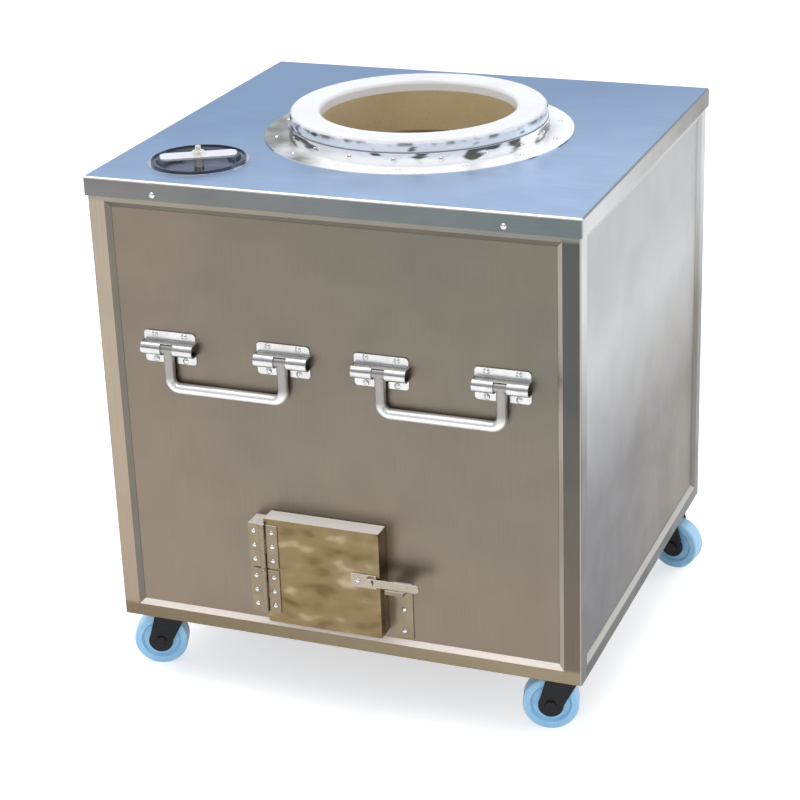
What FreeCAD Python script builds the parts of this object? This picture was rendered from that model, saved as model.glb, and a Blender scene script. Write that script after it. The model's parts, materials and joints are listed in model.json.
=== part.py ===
import FreeCAD, Part
import math
import os
import re
import Sketcher

# Square charcoal tandoor on castors: a clay pot in a steel casing with an ash door, two drop
# handles and a lidded vent. Millimetres, +Z up, the front faces -Y, floor under the middle is zero.

SIZES = {
    # Casing frame and panels
    "casing_width": 700,
    "casing_depth": 650,
    "casing_height": 670,
    "caster_height": 108,
    "post_face": 25,
    "rail_face": 19,
    "top_rail_face": 33,
    "frame_bevel": 8,
    "frame_wall": 5,
    "frame_round": 3,
    "gusset_side": 120,
    "panel_sheet": 1.5,
    "panel_gap": 0.5,
    "floor_sheet": 2,
    # Top cover
    "cover_sheet": 1.5,
    "cover_gap": 2,
    "cover_lip": 27,
    "cover_screw_drop": 19,
    "cover_screw_inset": 101,
    # Mouth, a little to the right of the casing's middle
    "mouth_x": 11.5,
    "rim_outer": 364,
    "rim_rise": 37,
    "rim_thick": 16,
    "rim_outer_round": 3,
    "rim_inner_round": 6,
    "collar_fit": 0.3,
    "collar_sheet": 1.5,
    "collar_height": 19,
    "band_sheet": 1.5,
    "band_lift": 3,
    "band_reveal": 4,
    "flange_width": 35,
    "flange_sheet": 1.5,
    "mouth_gap": 4,
    "flange_rivet_count": 14,
    "band_rivet_count": 18,
    # Clay pot, its base ring, hearth and grate
    "hearth_side": 470,
    "hearth_thick": 43,
    "pot_neck_inset": 12,
    "pot_neck_wall": 30,
    "pot_neck_height": 60,
    "pot_outer_curve": 440,
    "pot_inner_curve": 520,
    "pot_foot_wall": 29,
    "base_ring_bore": 330,
    "base_ring_height": 160,
    "base_ring_ledge": 18,
    "grate_gap": 2,
    "grate_thick": 10,
    "grate_ring": 20,
    "grate_slot": 22,
    "grate_bar": 14,
    # Ash door and its tunnel
    "door_x": -18,
    "door_width": 172,
    "door_height": 161,
    "door_lift": 39,
    "door_depth": 28,
    "door_gap": 1,
    "door_sheet": 2,
    "door_round": 2,
    "tunnel_width": 136,
    "tunnel_height": 128,
    "tunnel_sheet": 2,
    "tunnel_gap": 0.5,
    "tunnel_entry": 5,
    # Door hinges
    "hinge_height": 66,
    "hinge_inset": 9,
    "hinge_pitch": 70,
    "hinge_leaf": 22,
    "hinge_sheet": 2,
    "hinge_barrel": 8,
    "hinge_pin": 5,
    "hinge_fit": 0.05,
    "hinge_gap": 0.4,
    "hinge_side_gap": 1.5,
    "hinge_head_height": 2,
    "hinge_rivet_pitch": 22,
    "hinge_rivet_hold": 6,
    # Latch and keeper
    "latch_inset": 15,
    "latch_height": 87,
    "latch_bar_height": 11,
    "latch_bar_thick": 3,
    "latch_bar_reach": 74,
    "latch_plate_width": 38,
    "latch_plate_height": 20,
    "latch_plate_thick": 2,
    "latch_gap": 0.3,
    "latch_pin": 8,
    "latch_fit": 0.05,
    "latch_head": 13,
    "latch_head_height": 3,
    "latch_rivet_step": 17,
    "keeper_offset": 10,
    "keeper_width": 27,
    "keeper_sheet": 2,
    "keeper_lip_gap": 0.8,
    "keeper_lip_height": 4,
    "keeper_floor_gap": 3,
    "keeper_rivet_low": 11,
    "keeper_rivet_pitch": 34,
    # Drop handles
    "handle_x": 157,
    "handle_height": 430,
    "handle_span": 171,
    "handle_rod": 15,
    "handle_drop": 57,
    "handle_bend": 14,
    "handle_pin_length": 66,
    "handle_pin_fit": 0.3,
    "handle_stand": 0.5,
    "bracket_width": 78,
    "bracket_height": 46,
    "bracket_sheet": 2,
    "bracket_round": 5,
    "bracket_slot_gap": 2,
    "bracket_screw_across": 45,
    "bracket_screw_up": 36,
    # Vent and its lid
    "vent_inset_x": 121.5,
    "vent_inset_y": 101.5,
    "vent_bore": 124,
    "vent_sheet": 1.5,
    "vent_sleeve_depth": 40,
    "vent_flange": 8,
    "vent_hole_gap": 0.5,
    "vent_lid_gap": 1.5,
    "vent_lid_sheet": 1.5,
    "vent_lid_seat": 4,
    "vent_lid_edge": 3.5,
    "vent_pan_depth": 10,
    "vent_pan_slope": 6,
    "vent_strip_length": 106,
    "vent_strip_width": 30,
    "vent_strip_thick": 3,
    "vent_strip_lift": 14,
    "vent_strip_angle": 28,
    "vent_bolt": 8,
    "vent_bolt_fit": 0.1,
    "vent_bolt_collar": 14,
    "vent_bolt_nut": 17,
    "vent_bolt_nut_height": 5,
    "vent_bolt_tip": 7,
    # Castors
    "caster_inset_x": 43,
    "caster_front_inset": 71,
    "caster_rear_inset": 48,
    "caster_plate_width": 70,
    "caster_plate_length": 95,
    "caster_plate_thick": 4,
    "caster_bolt_across": 52,
    "caster_bolt_along": 76,
    "race_diameter": 52,
    "race_height": 8,
    "race_gap": 0.5,
    "kingpin": 14,
    "kingpin_fit": 0.05,
    "kingpin_head": 22,
    "kingpin_head_height": 4,
    "kingpin_head_gap": 0.3,
    "fork_crown": 50,
    "fork_sheet": 4,
    "fork_leg": 3,
    "fork_leg_lead": 26,
    "fork_leg_boss": 36,
    "fork_gap": 1.5,
    "caster_trail": 22,
    "wheel_diameter": 80,
    "wheel_width": 28,
    "tyre_thick": 3.5,
    "tyre_chamfer": 2,
    "hub_diameter": 26,
    "hub_gap": 0.5,
    "web_inset": 4,
    "web_slope": 3,
    "web_rim": 7,
    "axle_diameter": 10,
    "axle_fit": 0.05,
    "axle_head": 16,
    "axle_head_height": 3,
    "front_left_swivel_angle": 20,
    "front_right_swivel_angle": 15,
    "rear_left_swivel_angle": 20,
    "rear_right_swivel_angle": 170,
    # Fasteners
    "fastener_fit": 0.05,
    "rivet_head": 7,
    "rivet_head_height": 2,
    "rivet_shank": 4,
    "screw_head": 9,
    "screw_head_height": 2.5,
    "screw_shank": 5,
    "screw_tail": 3,
    "bolt_head": 13,
    "bolt_head_height": 4,
    "bolt_shank": 8,
}

PLACES = {
    # Casing faces and levels, all worked out from the sizes
    "latch_front": "latch_plate_thick + 2 * latch_gap + latch_bar_thick + latch_head_height",
    "front_reach": "door_gap + door_depth - frame_wall + latch_front",
    "rear_reach": "cover_gap + cover_sheet + screw_head_height",
    "casing_y": "(front_reach - rear_reach) / 2",
    "left_face": "-casing_width / 2",
    "right_face": "casing_width / 2",
    "front_face": "casing_y - casing_depth / 2",
    "rear_face": "casing_y + casing_depth / 2",
    "base_z": "caster_height",
    "cover_top": "caster_height + casing_height",
    "frame_top": "cover_top - cover_sheet",
    "post_reach": "post_face + frame_bevel",
    "rail_reach": "rail_face + frame_bevel",
    "panel_front": "front_face + frame_wall",
    "panel_bottom": "base_z + frame_wall",
    "panel_height": "frame_top - frame_wall - panel_bottom",
    "side_panel_inset": "frame_wall + panel_sheet + panel_gap",
    "hearth_bottom": "panel_bottom + floor_sheet",
    "hearth_top": "hearth_bottom + hearth_thick",
    # Mouth radii and levels
    "rim_radius": "rim_outer / 2",
    "rim_bottom": "cover_top + rim_rise - rim_thick",
    "band_inner": "rim_radius + collar_fit",
    "band_outer": "band_inner + band_sheet",
    "collar_inner": "band_outer + collar_fit",
    "collar_outer": "collar_inner + collar_sheet",
    "flange_radius": "collar_outer + flange_width",
    "pot_neck_radius": "rim_radius - pot_neck_inset",
    "mouth_radius": "pot_neck_radius - pot_neck_wall",
    "pot_bottom": "hearth_top + base_ring_height",
    "pot_height": "rim_bottom - pot_bottom",
    "base_ring_inner": "base_ring_bore / 2",
    "pot_foot_bore": "base_ring_inner + base_ring_ledge",
    "pot_foot_radius": "pot_foot_bore + pot_foot_wall",
    "grate_radius": "pot_foot_bore - grate_gap",
    # Door, hinge and latch
    "door_left": "door_x - door_width / 2",
    "door_right": "door_x + door_width / 2",
    "door_face": "panel_front - door_gap - door_depth",
    "door_bottom": "base_z + door_lift",
    "hinge_x": "door_left - hinge_side_gap",
    "hinge_y": "door_face - hinge_barrel / 2",
    "hinge_high": "door_bottom + door_height - hinge_inset - hinge_height",
    "hinge_low": "hinge_high - hinge_pitch",
    "latch_x": "door_right - latch_inset",
    "latch_z": "door_bottom + latch_height",
    "latch_bar_back": "door_face - latch_plate_thick - latch_gap",
    "latch_bar_front": "latch_bar_back - latch_bar_thick",
    "keeper_left": "door_right + keeper_offset",
    "keeper_bottom": "base_z + rail_reach + keeper_floor_gap",
    "keeper_lip_top": "latch_z - latch_bar_height / 2 - keeper_lip_gap",
    "keeper_ledge": "keeper_lip_top - keeper_lip_height",
    "keeper_lip_back": "latch_bar_front - keeper_lip_gap",
    # Handles, vent and castors
    "handle_z": "base_z + handle_height",
    "rod_radius": "handle_rod / 2",
    "pivot_stand": "rod_radius + handle_stand",
    "barrel_inner": "rod_radius + handle_pin_fit",
    "barrel_outer": "barrel_inner + bracket_sheet",
    "vent_x": "left_face + vent_inset_x",
    "vent_y": "front_face + vent_inset_y",
    "vent_top": "cover_top + vent_sheet",
    "vent_radius": "vent_bore / 2",
    "plug_radius": "vent_radius - vent_lid_gap",
    "lid_radius": "vent_radius + vent_lid_seat",
    "lid_floor": "vent_top + vent_lid_sheet - vent_pan_depth",
    "caster_x": "casing_width / 2 - caster_inset_x",
    "caster_front_y": "front_face + caster_front_inset",
    "caster_rear_y": "rear_face - caster_rear_inset",
    "race_bottom": "caster_height - caster_plate_thick - race_height",
    "fork_top": "race_bottom - race_gap",
    "fork_under": "fork_top - fork_sheet",
    "axle_z": "wheel_diameter / 2",
    "leg_inner": "wheel_width / 2 + fork_gap",
    "leg_outer": "leg_inner + fork_leg",
    "tyre_inner": "wheel_diameter / 2 - tyre_thick",
}

X_AXIS = FreeCAD.Vector(1, 0, 0)
Y_AXIS = FreeCAD.Vector(0, 1, 0)
Z_AXIS = FreeCAD.Vector(0, 0, 1)
# Turns that carry a fastener's head from +Z to the named side
HEAD_UP = FreeCAD.Rotation()
HEAD_DOWN = FreeCAD.Rotation(X_AXIS, 180)
HEAD_FRONT = FreeCAD.Rotation(X_AXIS, 90)
HEAD_REAR = FreeCAD.Rotation(X_AXIS, -90)
HEAD_RIGHT = FreeCAD.Rotation(Y_AXIS, 90)
# Turns that lay a cylinder along X or along Y
LAY_X = FreeCAD.Rotation(Y_AXIS, 90)
LAY_Y = FreeCAD.Rotation(X_AXIS, -90)

doc = FreeCAD.newDocument("MobileTandoor")
sizes = doc.addObject("Spreadsheet::Sheet", "Sizes")
places = doc.addObject("Spreadsheet::Sheet", "Places")
desk = doc.addObject("Spreadsheet::Sheet", "Desk")
NODES = {}


# Sheets and formulas

def qualified(formula):
    """The formula with the name of its sheet before each size and place."""
    def owner(word):
        name = word.group()
        if name in SIZES:
            return "Sizes." + name
        if name in PLACES:
            return "Places." + name
        return name
    return re.sub(r"[a-z_]+", owner, formula)


def fill_sheets():
    for row, (name, value) in enumerate(SIZES.items(), start=1):
        sizes.set(f"A{row}", name)
        sizes.set(f"B{row}", str(value))
        sizes.setAlias(f"B{row}", name)
    for row, (name, formula) in enumerate(PLACES.items(), start=1):
        places.set(f"A{row}", name)
        places.setAlias(f"B{row}", name)
        places.set(f"B{row}", "=" + qualified(formula))
    doc.recompute()


def number(formula):
    """Value of a formula, worked out in a cell of the desk sheet."""
    desk.set("A1", "=" + qualified(formula))
    desk.recompute()
    return float(desk.get("A1"))


def bind(piece, **formulas):
    for key, formula in formulas.items():
        piece.setExpression(key, qualified(formula))
    return piece


def place(piece, x="0", y="0", z="0", turn=FreeCAD.Rotation()):
    piece.Placement = FreeCAD.Placement(FreeCAD.Vector(), turn)
    for key, formula in zip("xyz", (x, y, z)):
        piece.setExpression(f"Placement.Base.{key}", qualified(formula))
    return piece


# Plain solids and booleans

def box(length, width, height, x="0", y="0", z="0"):
    block = doc.addObject("Part::Box", "Block")
    bind(block, Length=length, Width=width, Height=height)
    return place(block, x, y, z)


def cylinder(radius, height, x="0", y="0", z="0", turn=FreeCAD.Rotation()):
    rod = doc.addObject("Part::Cylinder", "Rod")
    bind(rod, Radius=radius, Height=height)
    return place(rod, x, y, z, turn)


def fuse(*pieces):
    joined = doc.addObject("Part::MultiFuse", "Joined")
    joined.Shapes = list(pieces)
    return joined


def group(*pieces):
    grouped = doc.addObject("Part::Compound", "Group")
    grouped.Links = list(pieces)
    return grouped


def cut(base, *tools):
    for tool in tools:
        opened = doc.addObject("Part::Cut", "Opened")
        opened.Base = base
        opened.Tool = tool
        base = opened
    return base


def runs_along(edge, axis):
    ends = [vertex.Point for vertex in edge.Vertexes]
    return len(ends) == 2 and (ends[1] - ends[0]).cross(axis).Length < 1e-6


def round_edges(base, radius, chosen):
    """Base with the chosen edges rounded."""
    doc.recompute()
    size = number(radius)
    rounded = doc.addObject("Part::Fillet", "Rounded")
    rounded.Base = base
    edges = enumerate(base.Shape.Edges, start=1)
    rounded.Edges = [(index, size, size) for index, edge in edges if chosen(edge)]
    return rounded


# Sketched bodies

def outline(body, plane, corners):
    """Closed outline on one of the body's planes. A corner is (across, up), or (across, up,
    radius, side) where an arc leads from it to the next corner, on its left for side 1."""
    sketch = body.newObject("Sketcher::SketchObject", "Outline")
    flat = [feature for feature in body.Origin.OriginFeatures if feature.Role == plane]
    sketch.AttachmentSupport = [(flat[0], "")]
    sketch.MapMode = "FlatFace"
    spots = [FreeCAD.Vector(number(corner[0]), number(corner[1]), 0) for corner in corners]
    for index, corner in enumerate(corners):
        start = spots[index]
        end = spots[(index + 1) % len(spots)]
        if len(corner) == 2:
            sketch.addGeometry(Part.LineSegment(start, end))
        else:
            sketch.addGeometry(arc_between(start, end, number(corner[2]), corner[3]))
    for index, corner in enumerate(corners):
        after = (index + 1) % len(corners)
        meet = Sketcher.Constraint("Coincident", index, end_of(corner), after, start_of(corners[after]))
        sketch.addConstraint(meet)
        pin(sketch, "DistanceX", index, start_of(corner), corner[0], spots[index].x)
        pin(sketch, "DistanceY", index, start_of(corner), corner[1], spots[index].y)
        if len(corner) > 2:
            added = sketch.addConstraint(Sketcher.Constraint("Radius", index, number(corner[2])))
            sketch.renameConstraint(added, f"Radius{index}")
            sketch.setExpression(f"Constraints.Radius{index}", qualified(corner[2]))
    return sketch


def arc_between(start, end, radius, side):
    """Arc from start to end, shorter than a half circle, with its middle on the chord's left for
    side 1. A sketch keeps arcs anticlockwise, so one with its middle on the right is kept reversed."""
    chord = end - start
    left = FreeCAD.Vector(-chord.y, chord.x, 0).normalize()
    reach = math.sqrt(radius ** 2 - (chord.Length / 2) ** 2)
    middle = (start + end) / 2 + left * side * reach
    circle = Part.Circle(middle, Z_AXIS, radius)
    first, last = (start, end) if side > 0 else (end, start)
    return Part.ArcOfCircle(circle, circle.parameter(first), circle.parameter(last))


def start_of(corner):
    return 2 if len(corner) > 2 and corner[3] < 0 else 1


def end_of(corner):
    return 3 - start_of(corner)


def pin(sketch, kind, index, end, formula, now):
    added = sketch.addConstraint(Sketcher.Constraint(kind, -1, 1, index, end, now))
    sketch.renameConstraint(added, f"{kind}{index}")
    sketch.setExpression(f"Constraints.{kind}{index}", qualified(formula))


def new_body():
    return doc.addObject("PartDesign::Body", "Body")


def padded(plane, corners, length):
    """Body made by pushing an outline out along its plane's normal."""
    body = new_body()
    pad = body.newObject("PartDesign::Pad", "Pad")
    pad.Profile = outline(body, plane, corners)
    bind(pad, Length=length)
    return body


def turned(corners):
    """Body made by turning an outline of (radius, height) corners about Z."""
    body = new_body()
    turn = body.newObject("PartDesign::Revolution", "Turn")
    turn.Profile = outline(body, "XZ_Plane", corners)
    turn.ReferenceAxis = (turn.Profile[0], ["V_Axis"])
    turn.Angle = 360
    return body


def soften(body, radius, chosen):
    """Round the chosen edges of a body."""
    doc.recompute()
    base = body.Tip
    picked = [f"Edge{index}" for index, edge in enumerate(base.Shape.Edges, start=1) if chosen(edge)]
    rounded = body.newObject("PartDesign::Fillet", "Rounded")
    rounded.Base = (base, picked)
    bind(rounded, Radius=radius)
    return body


# Fasteners

def domed_pin(head, head_height, shank, length):
    """Rivet, screw or bolt: a domed head above zero and a straight shank below."""
    head_radius = number(head) / 2
    shank_radius = number(shank) / 2
    top = FreeCAD.Vector(0, 0, number(head_height))
    rim = FreeCAD.Vector(head_radius, 0, 0)
    crown = (head_radius ** 2 + top.z ** 2) / (2 * top.z)
    lean = math.asin(head_radius / crown) / 2
    half_way = FreeCAD.Vector(crown * math.sin(lean), 0, top.z - crown * (1 - math.cos(lean)))
    foot = -number(length)
    side = [
        FreeCAD.Vector(0, 0, foot),
        FreeCAD.Vector(shank_radius, 0, foot),
        FreeCAD.Vector(shank_radius, 0, 0),
        rim,
    ]
    lines = [Part.makeLine(first, last) for first, last in zip(side, side[1:])]
    dome = Part.Arc(rim, half_way, top).toShape()
    core = Part.makeLine(top, side[0])
    return Part.Face(Part.Wire(lines + [dome, core])).revolve(FreeCAD.Vector(), Z_AXIS, 360)


def spot(x, y, z, turn):
    return FreeCAD.Placement(FreeCAD.Vector(number(x), number(y), number(z)), turn)


def shape_set(shapes):
    feature = doc.addObject("Part::Feature", "Set")
    feature.Shape = Part.makeCompound(shapes)
    feature.Placement = FreeCAD.Placement()
    return feature


def copies_at(shape, spots):
    return [shape.transformed(at.Matrix) for at in spots]


def node(label, piece):
    piece.Label = label
    NODES[label] = piece
    return piece


def fasten(label, kind, *rows):
    """Put a rivet, screw or bolt at every spot of the (grip, spots) rows, and return the clearance
    holes that they need. Each hole runs from the end of the shank out past the head."""
    pins = []
    holes = []
    radius = number(f"{kind}_shank / 2 + fastener_fit")
    for grip, spots in rows:
        depth = number(grip)
        pin_shape = domed_pin(kind + "_head", kind + "_head_height", kind + "_shank", grip)
        hole_shape = Part.makeCylinder(radius, 2 * depth, FreeCAD.Vector(0, 0, -depth))
        pins += copies_at(pin_shape, spots)
        holes += copies_at(hole_shape, spots)
    node(label, shape_set(pins))
    return shape_set(holes)


# Casing frame

# Corners in order round the casing, each a quarter turn on from the one before
CORNERS = {
    "front_left": ("left_face", "front_face"),
    "front_right": ("right_face", "front_face"),
    "rear_right": ("right_face", "rear_face"),
    "rear_left": ("left_face", "rear_face"),
}


def quarter_turns(count):
    return FreeCAD.Rotation(Z_AXIS, 90 * count)


def corner_post(count, name):
    """Angle post with bevelled toes and a rounded outer corner."""
    section = [
        ("0", "0"),
        ("post_face", "0"),
        ("post_reach", "frame_wall"),
        ("frame_wall", "frame_wall"),
        ("frame_wall", "post_reach"),
        ("0", "post_face"),
    ]
    post = padded("XY_Plane", section, "casing_height - cover_sheet")

    def outer_corner(edge):
        return runs_along(edge, Z_AXIS) and math.hypot(*edge.Vertexes[0].Point[:2]) < 1e-6

    soften(post, "frame_round", outer_corner)
    place(post, *CORNERS[name], "base_z", quarter_turns(count))
    return node("corner_post_" + name, post)


def rail_ring(level, upward, face):
    """Four angle rails between the posts, with faces of one height and flat flanges at the given level."""
    section = [
        ("0", "0"),
        ("0", f"{upward} * {face}"),
        ("frame_wall", f"{upward} * ({face} + frame_bevel)"),
        ("frame_wall", f"{upward} * frame_wall"),
        ("rail_reach", f"{upward} * frame_wall"),
        ("rail_reach", "0"),
    ]
    starts = [
        ("left_face + post_face", "front_face", "casing_width"),
        ("right_face", "front_face + post_face", "casing_depth"),
        ("right_face - post_face", "rear_face", "casing_width"),
        ("left_face", "rear_face - post_face", "casing_depth"),
    ]
    rails = []
    for count, (x, y, span) in enumerate(starts):
        rail = padded("YZ_Plane", section, f"{span} - 2 * post_face")
        rails.append(place(rail, x, y, level, quarter_turns(count)))
    return rails


def frames(posts, bolt_holes, screw_holes):
    """Bottom and top frames; the bottom one has a gusset for a castor in each corner."""
    gussets = [
        box("gusset_side", "gusset_side", "frame_wall", x, y, "base_z")
        for x in ("left_face + frame_wall", "right_face - frame_wall - gusset_side")
        for y in ("front_face + frame_wall", "rear_face - frame_wall - gusset_side")
    ]
    bottom = fuse(*rail_ring("base_z", 1, "rail_face"), *gussets)
    top = fuse(*rail_ring("frame_top", -1, "top_rail_face"))
    node("base_frame", cut(bottom, posts, bolt_holes))
    node("top_frame", cut(top, posts, screw_holes))


# Panels and floor

def casing_panels(front_holes):
    inner_width = "casing_width - 2 * (frame_wall + panel_gap)"
    left = "left_face + frame_wall + panel_gap"
    front = box(inner_width, "panel_sheet", "panel_height", left, "panel_front", "panel_bottom")
    doorway = box(
        "tunnel_width + 2 * tunnel_gap",
        "2 * frame_wall",
        "tunnel_height + 2 * tunnel_gap",
        "door_x - tunnel_width / 2 - tunnel_gap",
        "panel_front - frame_wall",
        "hearth_top - tunnel_gap",
    )
    node("front_panel", cut(front, doorway, *front_holes))
    rear_y = "rear_face - frame_wall - panel_sheet"
    node("rear_panel", box(inner_width, "panel_sheet", "panel_height", left, rear_y, "panel_bottom"))
    run = "casing_depth - 2 * side_panel_inset"
    start = "front_face + side_panel_inset"
    sides = {"left_panel": "left_face + frame_wall", "right_panel": "right_face - frame_wall - panel_sheet"}
    for label, x in sides.items():
        node(label, box("panel_sheet", run, "panel_height", x, start, "panel_bottom"))
    floor_width = "casing_width - 2 * side_panel_inset"
    floor_left = "left_face + side_panel_inset"
    node("floor_plate", box(floor_width, run, "floor_sheet", floor_left, start, "panel_bottom"))


# Top cover

def lip_screw_spots():
    """Two screws in the front and the rear of the cover's lip, at the same distance from the corners."""
    level = "cover_top - cover_screw_drop"
    out = "cover_gap + cover_sheet"
    spots = []
    for x in ("left_face + cover_screw_inset", "right_face - cover_screw_inset"):
        spots.append(spot(x, f"front_face - ({out})", level, HEAD_FRONT))
        spots.append(spot(x, f"rear_face + ({out})", level, HEAD_REAR))
    return spots


def folded_block(margin, height, bend):
    """Block over the casing, with its top and upright edges rounded like a bent sheet."""
    block = box(
        f"casing_width + 2 * ({margin})",
        f"casing_depth + 2 * ({margin})",
        height,
        f"left_face - ({margin})",
        f"front_face - ({margin})",
        "cover_top - cover_lip",
    )
    top = number(f"cover_top - cover_lip + {height}")

    def folded(edge):
        return runs_along(edge, Z_AXIS) or min(vertex.Z for vertex in edge.Vertexes) > top - 1e-6

    return round_edges(block, bend, folded)


def top_cover(rivet_holes, screw_holes):
    outside = folded_block("cover_gap + cover_sheet", "cover_lip", "cover_gap + cover_sheet")
    inside = folded_block("cover_gap", "cover_lip - cover_sheet", "cover_gap")
    low = "cover_top - cover_lip"
    through = "2 * cover_lip"
    mouth_hole = cylinder("pot_neck_radius + mouth_gap", through, "mouth_x", "casing_y", low)
    vent_hole = cylinder("vent_radius + vent_sheet + vent_hole_gap", through, "vent_x", "vent_y", low)
    node("top_cover", cut(outside, inside, mouth_hole, vent_hole, rivet_holes, screw_holes))


# Mouth

def ring_spots(count, radius, level, turn):
    """Spots evenly round the mouth, each turned to face outward after its first turn."""
    copies = int(number(count))
    centre = FreeCAD.Vector(number("mouth_x"), number("casing_y"), number(level))
    start = FreeCAD.Vector(number(radius), 0, 0)
    spots = []
    for step in range(copies):
        swing = FreeCAD.Rotation(Z_AXIS, 360 / copies * step)
        reach = swing.multVec(start)
        spots.append(FreeCAD.Placement(centre + reach, swing.multiply(turn)))
    return spots


def mouth(flange_holes, band_holes):
    """White rim ring on the pot, with a flanged collar and a band riveted round it."""
    flange = turned([
        ("collar_inner", "0"),
        ("flange_radius", "0"),
        ("flange_radius", "flange_sheet"),
        ("collar_outer", "flange_sheet"),
        ("collar_outer", "collar_height"),
        ("collar_inner", "collar_height"),
    ])
    place(flange, "mouth_x", "casing_y", "cover_top")
    node("mouth_flange", cut(flange, flange_holes, band_holes))
    band = turned([
        ("band_inner", "band_lift"),
        ("band_outer", "band_lift"),
        ("band_outer", "rim_rise - band_reveal"),
        ("band_inner", "rim_rise - band_reveal"),
    ])
    place(band, "mouth_x", "casing_y", "cover_top")
    node("collar_band", cut(band, band_holes))
    ring = turned([
        ("mouth_radius", "0"),
        ("rim_radius", "0"),
        ("rim_radius", "rim_thick"),
        ("mouth_radius", "rim_thick"),
    ])
    top = number("rim_thick")
    middle = number("(mouth_radius + rim_radius) / 2")

    def top_edge(edge):
        return abs(edge.Vertexes[0].Z - top) < 1e-6 and not runs_along(edge, Z_AXIS)

    soften(ring, "rim_outer_round", lambda edge: top_edge(edge) and edge.Curve.Radius > middle)
    soften(ring, "rim_inner_round", lambda edge: top_edge(edge) and edge.Curve.Radius < middle)
    node("rim_ring", place(ring, "mouth_x", "casing_y", "rim_bottom"))


# Clay pot, hearth and grate

def clay_pot():
    """Bottomless clay pot with a belly and a straight neck, standing on its base ring."""
    shoulder = "pot_height - pot_neck_height"
    pot = turned([
        ("pot_foot_bore", "0"),
        ("pot_foot_radius", "0", "pot_outer_curve", 1),
        ("pot_neck_radius", shoulder),
        ("pot_neck_radius", "pot_height"),
        ("mouth_radius", "pot_height"),
        ("mouth_radius", shoulder, "pot_inner_curve", -1),
    ])
    node("clay_pot", place(pot, "mouth_x", "casing_y", "pot_bottom"))


def pot_base_ring():
    """Clay ring under the pot, with an ash doorway; its inner edge is the ledge for the grate."""
    ring = turned([
        ("base_ring_inner", "0"),
        ("pot_foot_radius", "0"),
        ("pot_foot_radius", "base_ring_height"),
        ("base_ring_inner", "base_ring_height"),
    ])
    place(ring, "mouth_x", "casing_y", "hearth_top")
    doorway = box(
        "tunnel_width + 2 * tunnel_gap",
        "pot_foot_radius",
        "tunnel_height + tunnel_gap",
        "door_x - tunnel_width / 2 - tunnel_gap",
        "casing_y - pot_foot_radius",
        "hearth_top",
    )
    node("pot_base_ring", cut(ring, doorway))


def hearth():
    left = "mouth_x - hearth_side / 2"
    front = "casing_y - hearth_side / 2"
    slab = box("hearth_side", "hearth_side", "hearth_thick", left, front, "hearth_bottom")
    node("hearth_slab", slab)


def charcoal_grate():
    """Round slotted grate that lies on the base ring's ledge, inside the pot's foot."""
    disc = cylinder("grate_radius", "grate_thick", "mouth_x", "casing_y", "pot_bottom")
    pitch = number("grate_slot + grate_bar")
    clear = number("grate_radius - grate_ring")
    side_slots = int((clear - number("grate_slot") / 2) / pitch)
    slots = []
    for step in range(-side_slots, side_slots + 1):
        across = f"({step}) * (grate_slot + grate_bar)"
        edge = f"(abs({across}) + grate_slot / 2)"
        half = f"sqrt((grate_radius - grate_ring)^2 - {edge}^2)"
        left = f"mouth_x + {across} - grate_slot / 2"
        front = f"casing_y - {half}"
        slots.append(box("grate_slot", f"2 * {half}", "grate_thick", left, front, "pot_bottom"))
    node("charcoal_grate", cut(disc, group(*slots)))


# Ash tunnel and door

def ash_tunnel():
    """Square steel duct from the front panel to the pot, lying on the hearth."""
    run = "casing_y - base_ring_inner - tunnel_entry - panel_front"
    left = "door_x - tunnel_width / 2"
    outside = box("tunnel_width", run, "tunnel_height", left, "panel_front", "hearth_top")
    inside = box(
        "tunnel_width - 2 * tunnel_sheet",
        run,
        "tunnel_height - 2 * tunnel_sheet",
        f"{left} + tunnel_sheet",
        "panel_front",
        "hearth_top + tunnel_sheet",
    )
    node("ash_tunnel", cut(outside, inside))


def ash_door(rivet_holes, pivot_hole):
    """Folded tray, open towards the casing."""
    tray = box("door_width", "door_depth", "door_height", "door_left", "door_face", "door_bottom")
    face = number("door_face")

    def front_edge(edge):
        return max(vertex.Y for vertex in edge.Vertexes) < face + 1e-6

    tray = round_edges(tray, "door_round", front_edge)
    hollow = box(
        "door_width - 2 * door_sheet",
        "door_depth",
        "door_height - 2 * door_sheet",
        "door_left + door_sheet",
        "door_face + door_sheet",
        "door_bottom + door_sheet",
    )
    node("ash_door", cut(tray, hollow, rivet_holes, pivot_hole))


# Door hinges

HINGE_LEVELS = ("hinge_low", "hinge_high")


def hinge_rivet_spots(side):
    """Three rivets down each leaf, on the casing's side (-1) or the door's side (1)."""
    across = f"hinge_x + ({side}) * (hinge_barrel / 2 + hinge_gap + hinge_leaf) / 2"
    heights = [
        f"{level} + hinge_height / 2 + ({step}) * hinge_rivet_pitch"
        for level in HINGE_LEVELS
        for step in (-1, 0, 1)
    ]
    return [spot(across, "door_face - hinge_sheet", height, HEAD_FRONT) for height in heights]


def hinge_leaf(side, level, own_thirds):
    """One leaf and its knuckles; the leaf is notched beside the other leaf's knuckles."""
    third = "hinge_height / 3"
    tongue = "hinge_barrel / 2 + hinge_gap"
    front = "door_face - hinge_sheet"
    plate_left = f"hinge_x + {tongue}" if side > 0 else "hinge_x - hinge_leaf"
    tab_left = "hinge_x" if side > 0 else f"hinge_x - ({tongue})"
    pieces = [box(f"hinge_leaf - ({tongue})", "hinge_sheet", "hinge_height", plate_left, front, level)]
    for index in own_thirds:
        foot = f"{level} + {index} * {third} + hinge_gap / 2"
        tall = f"{third} - hinge_gap"
        pieces.append(cylinder("hinge_barrel / 2", tall, "hinge_x", "hinge_y", foot))
        pieces.append(box(tongue, "hinge_sheet", tall, tab_left, front, foot))
    bore = cylinder("hinge_pin / 2 + hinge_fit", "hinge_height", "hinge_x", "hinge_y", level)
    return cut(fuse(*pieces), bore)


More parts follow.
